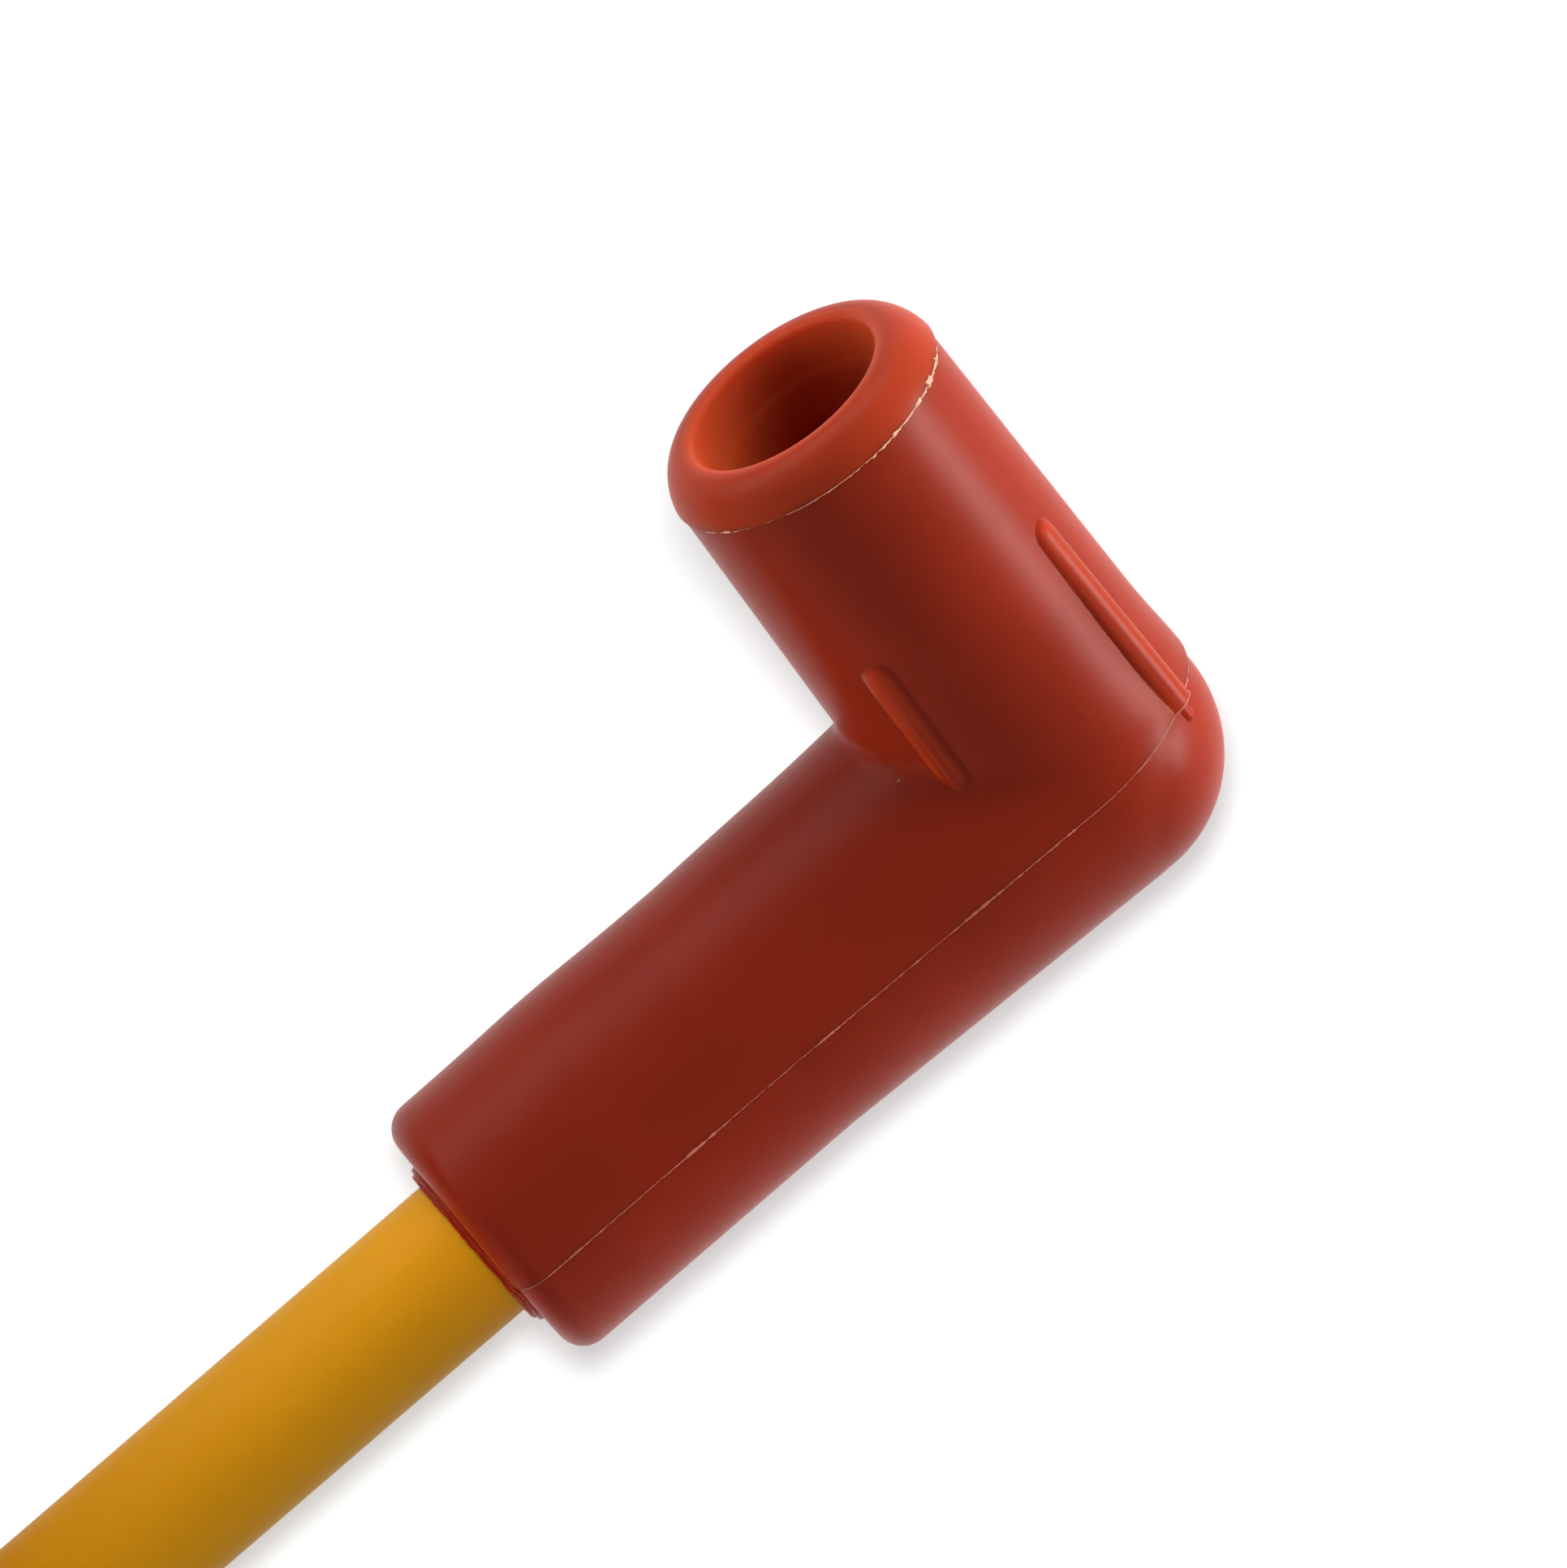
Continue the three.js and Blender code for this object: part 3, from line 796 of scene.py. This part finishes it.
def rib_path(tree, boot, angle, side, foot, top, spacing=0.1):
    """Points of the fine line that the mould leaves along a rib"""
    axis = plug_axis(boot)
    out = rib_direction(boot, angle, side)
    steps = round((top - foot) / spacing)
    points = []
    for step in range(steps + 1):
        centre = axis * (foot + (top - foot) * step / steps)
        points.append(surface_point(tree, centre + out * OUTSIDE, centre))
    return points


def flash_line(name, points, closed, thickness, ragged, seed, weight=None):
    """A thin uneven ridge along points of the surface, as a mesh"""
    curve = bpy.data.curves.new(name, "CURVE")
    curve.dimensions = "3D"
    curve.bevel_depth = thickness
    curve.bevel_resolution = 1
    curve.use_fill_caps = True
    spline = curve.splines.new("POLY")
    spline.points.add(len(points) - 1)
    spline.use_cyclic_u = closed
    shift = Vector((seed, 2 * seed, 3 * seed))
    least = 0.1
    for place, point in zip(points, spline.points):
        coarse = noise.noise(place * 0.35 + shift)
        middle = noise.noise(place * 1.3 + shift)
        fine = noise.noise(place * 5.1 + shift)
        point.co = (*place, 1)
        size = 1 + ragged * (1.2 * coarse + 0.7 * middle + 1.1 * fine)
        point.radius = max(least, size * (weight(place) if weight else 1))
    ridge = bpy.data.objects.new(name, curve)
    bpy.context.scene.collection.objects.link(ridge)
    make_active(ridge)
    bpy.ops.object.convert(target="MESH")
    return bpy.context.object


# Half thickness and unevenness of each kind of flash
LIP_FLASH = (0.075, 0.8)
SEAM_FLASH = (0.056, 0.85)
FAR_SEAM_FLASH = (0.045, 0.7)
OUTER_RIB_FLASH = (0.018, 0.6)
INNER_RIB_FLASH = (0.022, 0.6)

# Places of the fine lines on the ribs, in degrees from a rib's middle
OUTER_RIB_LINES = (2.3, 3.3)
INNER_RIB_LINE = 6


def flash_lines(body, boot):
    """The pale lines that the mould's joints leave on the boot"""
    tree = surface_tree(body)
    axis = plug_axis(boot)
    across = rib_direction(boot, 0, 1)

    def lip_weight(place):
        out = place - axis * place.dot(axis)
        around = math.degrees(math.atan2(out.dot(across), -out.y))
        extra = [
            more * math.exp(-((around - middle) / width) ** 2)
            for middle, width, more in RAGGED_LIP]
        return 0.5 + sum(extra)

    path = lip_path(tree, boot)
    ridges = [flash_line("lip_seam", path, True, *LIP_FLASH, seed=11, weight=lip_weight)]
    for side in (-1, 1):
        path = seam_path(tree, boot, side)
        ridges.append(flash_line("seam", path, False, *SEAM_FLASH, seed=side))
        for offset in OUTER_RIB_LINES:
            angle = boot.outer_rib_angle - math.radians(offset)
            path = rib_path(
                tree, boot, angle, side, foot=0.5, top=boot.outer_rib_top - 0.7)
            ridges.append(
                flash_line("rib_line", path, False, *OUTER_RIB_FLASH, seed=side + offset))
        angle = boot.inner_rib_angle + math.radians(INNER_RIB_LINE)
        path = rib_path(tree, boot, angle, side, foot=9, top=boot.inner_rib_top - 0.4)
        ridges.append(flash_line("rib_line", path, False, *INNER_RIB_FLASH, seed=side + 5))
    return ridges


# How much of the painted glow red the lip has, as painted light shining through it
LIP_PAINTED_GLOW = 0.3

# How much of the painted glow red the top of a rib has, as painted light on its flank
RIB_PAINTED_GLOW = 0.3

# How far up the plug leg, from the corner, the bore's wall reaches the full painted glow red:
# painted light inside the mouth, fading to painted shade deeper in the bore
BORE_PAINTED_LIGHT = 12


def rib_share(place, along, boot):
    """1 on the ribs and 0 away from them, with a short rise between"""
    highest = 0.9
    clear_of_elbow = 0.25
    rise_start = 0.1
    rise_run = 0.15
    across = rib_direction(boot, 0, 1)
    angle = math.atan2(abs(place.y), place.dot(across))
    seam = boot.plug_leg_length - boot.lip_height
    wall = boot.plug_leg_base + (boot.plug_leg - boot.plug_leg_base) * along / seam
    stand = (place - plug_axis(boot) * along).length - wall
    half = boot.rib / wall
    on_outer = abs(angle - boot.outer_rib_angle) < half and stand < highest
    on_inner = (
        abs(angle - boot.inner_rib_angle) < half
        and math.hypot(place.y, place.z) > boot.elbow + clear_of_elbow)
    on_rib = place.z > 0 and along < boot.outer_rib_top and (on_outer or on_inner)
    return min(max((stand - rise_start) / rise_run, 0), 1) if on_rib else 0


def mark_painted_glow(piece, boot):
    """Paints light into a mask: a painted glow on the lip and the ribs, and painted light inside
    the mouth that fades to painted shade deeper in the bore
    """
    axis = plug_axis(boot)
    lip = boot.plug_leg_length - boot.lip_height + 0.1
    # Mask of painted light, which lightens the red where it is set
    mask = piece.data.attributes.new("thin", "FLOAT", "POINT")
    for vertex, value in zip(piece.data.vertices, mask.data):
        along = vertex.co.dot(axis)
        radius = (vertex.co - axis * along).length
        inward = min(max((boot.crown - radius) / (boot.crown - boot.mouth), 0), 1)
        # Painted glow on the lip, strongest at the mouth's edge
        if along > lip:
            value.value = LIP_PAINTED_GLOW + (1 - LIP_PAINTED_GLOW) * inward
        # Painted light inside the mouth, fading to painted shade deeper in the bore
        elif inward == 1:
            value.value = min(max(along / BORE_PAINTED_LIGHT, 0), 1)
        # Painted light on the ribs' flanks
        else:
            value.value = RIB_PAINTED_GLOW * rib_share(vertex.co, along, boot)


def cable_collar(boot):
    """The thin ragged collar, in two layers, that the mould leaves round the cable"""
    end = boot.cable_leg_length
    root = end - 0.8
    low = end + boot.collar_height * 0.55
    high = end + boot.collar_height
    inside = boot.cable_bore - 0.2
    upper = boot.collar - 0.3
    coarse = 0.6
    fine = 2.4
    outline = [(inside, root), (boot.collar, root)]
    outline += bend((boot.collar, low - 0.15), (boot.collar, low), (boot.collar - 0.15, low), 3)
    outline += [(upper, low)]
    outline += bend((upper, high - 0.08), (upper, high), (boot.collar - 0.38, high), 3)
    outline += [(inside, high)]
    piece = turned_body("collar", outline, Vector((-1, 0, 0)), steps=200)
    for vertex in piece.data.vertices:
        if vertex.co.x < -end:
            rough = max(0, noise.noise(vertex.co * coarse)) + 0.5 * noise.noise(vertex.co * fine)
            vertex.co.x += 0.18 * rough
            vertex.co += Vector((0, vertex.co.y, vertex.co.z)).normalized() * 0.1 * rough
    return piece


def join_pieces(piece, others):
    bpy.ops.object.select_all(action="DESELECT")
    for other in others:
        other.select_set(True)
    piece.select_set(True)
    bpy.context.view_layer.objects.active = piece
    bpy.ops.object.join()
    return piece


# The share of the boot's faces that stays, which keeps it under 200,000 triangles
BOOT_FACES = 0.7


class BuildPlugBoot(bpy.types.Operator):
    """Build the moulded silicone elbow boot"""
    bl_idname = "plug_lead.plug_boot"
    bl_label = "Plug Boot"

    def execute(self, context):
        boot = in_millimetres(context.scene.lead_boot)
        colours = context.scene.lead_colours
        body = moulded_body(boot)
        combine(body, cable_collar(boot), "UNION")
        combine(body, cable_cavity(boot), "DIFFERENCE")
        combine(body, plug_cavity(boot), "DIFFERENCE")
        leave_out_faces(body, BOOT_FACES)
        dress(body, silicone_material(colours))
        shade(body)
        # Paints the glow of light on the lip, ribs and mouth into the colour mask
        mark_painted_glow(body, boot)
        ridges = flash_lines(body, boot)
        looks = [flash_material(colours)] + [seam_material(colours)] * (len(ridges) - 1)
        for ridge, look in zip(ridges, looks):
            ridge.data.materials.append(look)
            shade(ridge)
        join_pieces(body, ridges)
        body.name = "plug_boot_moulding"
        body.data.transform(boot_place(boot))
        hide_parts("plug_boot")
        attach(body, "root")
        return {"FINISHED"}


# Distributor boot, terminal and tie


def placed(piece, name, to_place, made):
    """Sets a piece that was modelled in its own millimetres into the row's metres"""
    piece.name = name
    piece.data.transform(to_place @ Matrix.Scale(MM, 4))
    dress(piece, made)
    shade(piece)
    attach(piece, "root")
    return piece


def soft_outline(points, radius, steps=6):
    """Rounds the corners of a closed outline"""
    outline = []
    count = len(points)
    for index, corner in enumerate(points):
        here = Vector(corner)
        before = Vector(points[index - 1]) - here
        after = Vector(points[(index + 1) % count]) - here
        cut = min(radius, before.length * 0.45, after.length * 0.45)
        if corner[0] == 0:
            outline.append(corner)
        else:
            outline += bend(
                tuple(here + before.normalized() * cut), corner,
                tuple(here + after.normalized() * cut), steps)
    return outline


def distributor_place():
    """The middle of the far boot's cable entry, with +X into the boot"""
    low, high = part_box("distributor_boot")
    return Matrix.Translation((low.x, (low.y + high.y) / 2, (low.z + high.z) / 2))


class BuildDistributorBoot(bpy.types.Operator):
    """Build the straight boot and the terminal of the far end"""
    bl_idname = "plug_lead.distributor_boot"
    bl_label = "Distributor Boot"

    def execute(self, context):
        far = in_millimetres(context.scene.lead_far_end)
        colours = context.scene.lead_colours
        made = bpy.data.materials.get("red silicone") or silicone_material(colours)
        flare = far.neck_length + far.flare_length
        end = flare + far.skirt_length
        bore = far.skirt - far.skirt_wall
        outline = soft_outline([
            (far.cable_bore, 0), (far.neck, 0), (far.neck, far.neck_length),
            (far.skirt, flare), (far.skirt, end), (bore, end), (bore, flare),
            (far.chamber, far.neck_length), (far.chamber, far.grip),
            (far.cable_bore, far.grip)], 1.1)
        body = turned_body("distributor_moulding", outline, Vector((1, 0, 0)), steps=144)
        tree = surface_tree(body)
        look = bpy.data.materials.get("mould seam") or seam_material(colours)
        ridges = []
        per_millimetre = 5
        for side in (-1, 1):
            path = []
            for step in range(3, round(end * per_millimetre) - 2):
                middle = Vector((step / per_millimetre, 0, 0))
                outside = middle + Vector((0, side * OUTSIDE, 0))
                path.append(surface_point(tree, outside, middle))
            ridge = flash_line("seam", path, False, *FAR_SEAM_FLASH, seed=30 + side)
            ridge.data.materials.append(look)
            ridges.append(ridge)
        to_place = distributor_place()
        placed(body, "distributor_boot_moulding", to_place, made)
        for ridge in ridges:
            ridge.data.transform(to_place @ Matrix.Scale(MM, 4))
            shade(ridge)
        join_pieces(body, ridges)
        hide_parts("distributor_boot")
        self.add_terminal(far, colours, to_place)
        return {"FINISHED"}

    def add_terminal(self, far, colours, to_place):
        start = far.barrel_start
        cone = far.cone_start
        throat = cone + far.cone_length
        tip = throat + far.snap_length
        inner = far.snap - far.sheet
        bulge = 0.25
        draw_in = 0.15
        bulge_end = tip - 1.5
        bulge_middle = tip - 3
        bulge_start = tip - 4.5
        outline = soft_outline([
            (far.barrel - far.sheet, start), (far.barrel, start), (far.barrel, cone),
            (far.snap, throat), (far.snap, bulge_start), (far.snap + bulge, bulge_middle),
            (far.snap, bulge_end), (far.snap - draw_in, tip), (inner - draw_in, tip),
            (inner, bulge_end), (inner + bulge, bulge_middle), (inner, bulge_start),
            (inner, throat), (far.barrel - far.sheet, cone)], 0.2, 4)
        body = turned_body("snap_terminal", outline, Vector((1, 0, 0)), steps=96)
        for turned in (0, math.pi / 2):
            bpy.ops.object.select_all(action="DESELECT")
            bpy.ops.mesh.primitive_cube_add(size=1, location=(tip - 3.5, 0, 0))
            slot = bpy.context.object
            slot.data.transform(Matrix.Diagonal((9, far.slot, 3 * far.snap, 1)))
            slot.data.transform(Matrix.Rotation(turned, 4, "X"))
            slot.data.transform(Matrix.Translation(slot.location))
            slot.location = (0, 0, 0)
            combine(body, slot, "DIFFERENCE")
        placed(body, "distributor_snap_terminal", to_place,
               brass_material(colours))
        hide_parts("distributor_terminal")


class BuildTie(bpy.types.Operator):
    """Build the strap that holds the coil"""
    bl_idname = "plug_lead.tie"
    bl_label = "Coil Tie"

    def execute(self, context):
        tie = in_millimetres(context.scene.lead_tie)
        low, high = (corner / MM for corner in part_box("coil_tie"))
        head_foot = high.z - tie.head_height
        half = (high.x - low.x) / 2
        bpy.ops.object.select_all(action="DESELECT")
        bpy.ops.mesh.primitive_cube_add(size=1)
        band = bpy.context.object
        band.data.transform(Matrix.Diagonal((2 * half, tie.width, head_foot - low.z, 1)))
        self.round_long_edges(band, tie.corner, 8)
        make_active(band)
        bpy.ops.object.mode_set(mode="EDIT")
        bpy.ops.mesh.select_all(action="DESELECT")
        bpy.ops.object.mode_set(mode="OBJECT")
        least_facing = 0.9
        for face in band.data.polygons:
            face.select = abs(face.normal.y) > least_facing
        bpy.ops.object.mode_set(mode="EDIT")
        bpy.ops.mesh.inset(thickness=tie.thickness)
        bpy.ops.mesh.bridge_edge_loops()
        bpy.ops.object.mode_set(mode="OBJECT")
        tidy_shell(band)
        self.soften_edges(band, 0.3, 3)
        band_top = (head_foot - low.z) / 2
        head = self.block(
            (tie.head_across, tie.head_along, tie.head_height),
            (0, 0, band_top + tie.head_height / 2 - 0.02), 0.7)
        tongue = self.block(
            (tie.head_across * 0.3, tie.width, tie.thickness),
            (tie.head_across * 0.55, 0, band_top + tie.head_height * 0.45), 0.3)
        parts = [head, tongue]
        tooth = (0.3, tie.width * 0.6, 0.35)
        tooth_spacing = 0.9
        teeth = round((head_foot - low.z) * 0.7)
        for index in range(teeth):
            height = (index - (teeth - 1) / 2) * tooth_spacing
            parts.append(self.block(tooth, (-half + 0.02, 0, height), 0.08))
        join_pieces(band, parts)
        middle = (low + high) / 2
        band.data.transform(Matrix.Translation((middle.x, middle.y, (low.z + head_foot) / 2)))
        placed(band, "coil_strap", Matrix.Identity(4),
               tie_material(context.scene.lead_colours))
        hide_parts("coil_tie")
        return {"FINISHED"}

    def round_long_edges(self, piece, radius, steps):
        """Rounds the edges that run across the strap"""
        make_active(piece)
        places = [vertex.co.copy() for vertex in piece.data.vertices]
        for edge in piece.data.edges:
            run = places[edge.vertices[1]] - places[edge.vertices[0]]
            edge.select = abs(run.y) > abs(run.x) + abs(run.z)
        bpy.ops.object.mode_set(mode="EDIT")
        bpy.ops.mesh.select_mode(type="EDGE")
        bpy.ops.mesh.bevel(offset=radius, segments=steps)
        bpy.ops.object.mode_set(mode="OBJECT")

    def soften_edges(self, piece, radius, steps):
        sharp = math.radians(40)
        make_active(piece)
        modifier = piece.modifiers.new("Soft edges", "BEVEL")
        modifier.width = radius
        modifier.segments = steps
        modifier.limit_method = "ANGLE"
        modifier.angle_limit = sharp
        bpy.ops.object.modifier_apply(modifier=modifier.name)

    def block(self, size, centre, edge):
        bpy.ops.object.select_all(action="DESELECT")
        bpy.ops.mesh.primitive_cube_add(size=1)
        piece = bpy.context.object
        piece.data.transform(Matrix.Diagonal((*size, 1)))
        piece.data.transform(Matrix.Translation(centre))
        self.soften_edges(piece, edge, 3)
        return piece


class FinishNodes(bpy.types.Operator):
    """Give the hidden cable end, terminal, clip and cores their finishes"""
    bl_idname = "plug_lead.finish_nodes"
    bl_label = "Hidden Parts"

    def execute(self, context):
        colours = context.scene.lead_colours
        brass = bpy.data.materials.get("rolled brass") or brass_material(colours)
        core = core_material(colours)
        finishes = {
            "plug_terminal": brass, "plug_clip": steel_material(colours), "plug_core": core,
            "distributor_core": core,
            "cable_end": bpy.data.materials.get("amber jacket") or jacket_material(colours),
        }
        for name, made in finishes.items():
            bpy.data.objects[name].material_slots[0].material = made
        return {"FINISHED"}


# Cable


def coil_points(cable):
    radius = cable.coil_diameter / 2
    centre = EXIT + Vector((COIL_ENTRY[0], COIL_ENTRY[1] + radius, 0))
    count = round(cable.turns * cable.points_per_turn)
    points = []
    for step in range(count + 1):
        turned = step / cable.points_per_turn
        angle = -math.pi / 2 - 2 * math.pi * turned
        points.append(Vector((
            centre.x + radius * math.cos(angle), centre.y + radius * math.sin(angle),
            COIL_ENTRY[2] + turned * cable.coil_pitch)))
    return points


def cable_path(cable):
    """The cable's route, from the face where it meets the collar"""
    def place(point):
        return Vector((EXIT.x + point[0], EXIT.y + point[1], point[2]))
    lead = [EXIT] + [place(point) for point in LEAD_ROUTE]
    return lead + coil_points(cable) + [place(point) for point in TAIL_ROUTE]


class BuildCable(bpy.types.Operator):
    """Build the cable with its coil"""
    bl_idname = "plug_lead.cable"
    bl_label = "Cable"

    def execute(self, context):
        cable = context.scene.lead_cable
        path = cable_path(cable)
        curve = bpy.data.curves.new("ignition_cable", "CURVE")
        curve.dimensions = "3D"
        curve.bevel_depth = cable.diameter / 2
        curve.bevel_resolution = 12
        curve.resolution_u = 6
        curve.use_fill_caps = True
        spline = curve.splines.new("BEZIER")
        spline.bezier_points.add(len(path) - 1)
        for point, place in zip(spline.bezier_points, path):
            point.co = place
            point.handle_left_type = "AUTO"
            point.handle_right_type = "AUTO"
        piece = bpy.data.objects.new("ignition_cable", curve)
        context.scene.collection.objects.link(piece)
        dress(piece, jacket_material(context.scene.lead_colours))
        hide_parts("cable_lead", "cable_coil", "cable_tail")
        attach(piece, "root")
        return {"FINISHED"}


# Stage


# Each lamp's name, its angle in the picture and above the surface in degrees, its level,
# and its width and height as shares of the lamp size
BOOT_LAMPS = [
    ("key softbox", 13, 3, 1.3, 0.65, 0.4),
    ("side softbox", 50, 7, 1.7, 1.3, 1.3),
    ("fill softbox", 128, 14, 1.2, 2.6, 1.1),
    ("left softbox", 222, 10, 1.0, 1, 1),
]
FLOOR_LAMP = ("floor softbox", 98, 82, 0.8, 0.25, 0.25)
CABLE_LAMP = ("cable softbox", 150, 76, 0.43, 1, 1)


class BuildStage(bpy.types.Operator):
    """Set the floor, the lights, the background and the camera"""
    bl_idname = "plug_lead.stage"
    bl_label = "Stage"

    def execute(self, context):
        stage = context.scene.lead_stage
        self.add_camera(context, stage)
        self.add_floor(context)
        self.add_world(context)
        self.add_lights(stage)
        context.scene.view_settings.view_transform = "Standard"
        return {"FINISHED"}

    def add_camera(self, context, stage):
        boot = context.scene.lead_boot
        corner = EXIT + Vector((boot.cable_leg_length + boot.collar_height, 0, 0))
        bpy.ops.object.camera_add(
            location=(corner.x - stage.view_left, corner.y + stage.view_side,
                      LEG_HEIGHT + stage.view_distance),
            rotation=(0, 0, -stage.view_turn))
        camera = context.object
        camera.data.sensor_width = 36
        camera.data.lens = 36 * stage.view_distance / stage.view_width
        context.scene.camera = camera

    def add_floor(self, context):
        bpy.ops.mesh.primitive_plane_add(size=6, location=(0, 0, 0))
        floor = context.object
        floor.name = "floor"
        made = bpy.data.materials.new("white surface")
        made.use_nodes = True
        tree = made.node_tree
        shader = tree.nodes["Principled BSDF"]
        shader.inputs["Base Color"].default_value = (*context.scene.lead_colours.floor, 1)
        shader.inputs["Roughness"].default_value = 1
        shader.inputs["Specular IOR Level"].default_value = 0
        shader.inputs["Emission Color"].default_value = (1, 1, 1, 1)
        white = node(
            tree, "ShaderNodeMath", (-200, -200), {1: context.scene.lead_stage.floor_white},
            operation="MULTIPLY")
        connect(
            tree, (self.seen_rays(tree), 0, white, 0), (white, 0, shader, "Emission Strength"))
        floor.data.materials.append(made)

    def seen_rays(self, tree):
        """1 where the camera, a reflection or a clear piece looks, and 0 for light"""
        seen = node(tree, "ShaderNodeLightPath", (-700, -400))
        either = node(tree, "ShaderNodeMath", (-500, -400), operation="MAXIMUM")
        every = node(tree, "ShaderNodeMath", (-350, -400), operation="MAXIMUM")
        connect(
            tree, (seen, "Is Camera Ray", either, 0), (seen, "Is Glossy Ray", either, 1),
            (either, 0, every, 0), (seen, "Is Transmission Ray", every, 1))
        return every

    def add_world(self, context):
        stage = context.scene.lead_stage
        world = bpy.data.worlds.new("studio")
        world.use_nodes = True
        context.scene.world = world
        tree = world.node_tree
        background = tree.nodes["Background"]
        background.inputs["Color"].default_value = (1, 1, 1, 1)
        ray = node(tree, "ShaderNodeTexCoord", (-900, 0))
        split = node(tree, "ShaderNodeSeparateXYZ", (-700, 0))
        fall = node(
            tree, "ShaderNodeMapRange", (-500, 0),
            {"From Max": 0.8, "To Min": stage.horizon, "To Max": stage.zenith},
            interpolation_type="SMOOTHSTEP")
        level = node(tree, "ShaderNodeMath", (-250, 0), operation="MAXIMUM")
        connect(
            tree, (ray, "Generated", split, 0), (split, "Z", fall, "Value"),
            (fall, "Result", level, 0), (self.seen_rays(tree), 0, level, 1),
            (level, 0, background, "Strength"))

    def add_lights(self, stage):
        for name, direction, elevation, level, width, height in BOOT_LAMPS:
            lamp = self.add_lamp(stage, name, direction, elevation, level, width, height)
            lamp.visible_glossy = name.startswith(("key", "fill"))
            kept_off = ["floor"]
            if name.startswith(("key", "side")):
                kept_off.append("ignition_cable")
            self.link(lamp, kept_off, "EXCLUDE")
        lamp = self.add_lamp(stage, *FLOOR_LAMP)
        self.link(lamp, ["floor"], "INCLUDE")
        lamp = self.add_lamp(stage, *CABLE_LAMP)
        lamp.visible_glossy = False
        self.link(lamp, ["ignition_cable"], "INCLUDE")

    def add_lamp(self, stage, name, direction, elevation, level, width, height):
        around = math.radians(direction) - stage.view_turn
        up = math.radians(elevation)
        away = Vector((
            math.cos(around) * math.cos(up), math.sin(around) * math.cos(up), math.sin(up)))
        bpy.ops.object.light_add(
            type="AREA", location=EXIT + away * stage.lamp_distance,
            rotation=away.to_track_quat("Z", "Y").to_euler())
        lamp = bpy.context.object
        lamp.name = name
        lamp.data.shape = "RECTANGLE"
        lamp.data.size = width * stage.lamp_size
        lamp.data.size_y = height * stage.lamp_size
        lamp.data.energy = level * (math.pi * stage.lamp_distance) ** 2
        return lamp

    def link(self, lamp, names, state):
        """Keeps a lamp off the named pieces, or for them alone"""
        receivers = bpy.data.collections.new(lamp.name + " receivers")
        for name in names:
            receivers.objects.link(bpy.data.objects[name])
        lamp.light_linking.receiver_collection = receivers
        for receiver in receivers.collection_objects:
            receiver.light_linking.link_state = state


class LeadPanel(bpy.types.Panel):
    """Sizes, colours and build steps of the lead"""
    bl_idname = "VIEW3D_PT_plug_lead"
    bl_label = "Plug Lead"
    bl_space_type = "VIEW_3D"
    bl_region_type = "UI"
    bl_category = "Plug Lead"

    def draw(self, context):
        for operator in OPERATORS:
            self.layout.operator(operator.bl_idname)
        for name in GROUPS:
            group = getattr(context.scene, name)
            column = self.layout.column()
            for title in type(group).__annotations__:
                column.prop(group, title)


OPERATORS = [
    BuildPlugBoot, BuildDistributorBoot, BuildTie, BuildCable, FinishNodes, BuildStage]
GROUPS = {
    "lead_cable": CableSizes,
    "lead_boot": BootSizes,
    "lead_far_end": FarEndSizes,
    "lead_tie": TieSizes,
    "lead_colours": LeadColours,
    "lead_stage": StageSizes,
}


def register():
    for cls in (*GROUPS.values(), *OPERATORS, LeadPanel):
        bpy.utils.register_class(cls)
    for name, cls in GROUPS.items():
        setattr(bpy.types.Scene, name, PointerProperty(type=cls))


def unregister():
    for name in GROUPS:
        delattr(bpy.types.Scene, name)
    for cls in reversed((*GROUPS.values(), *OPERATORS, LeadPanel)):
        bpy.utils.unregister_class(cls)


def main():
    register()
    bpy.ops.plug_lead.plug_boot()
    bpy.ops.plug_lead.distributor_boot()
    bpy.ops.plug_lead.tie()
    bpy.ops.plug_lead.cable()
    bpy.ops.plug_lead.finish_nodes()
    bpy.ops.plug_lead.stage()


if __name__ == "__main__":
    main()
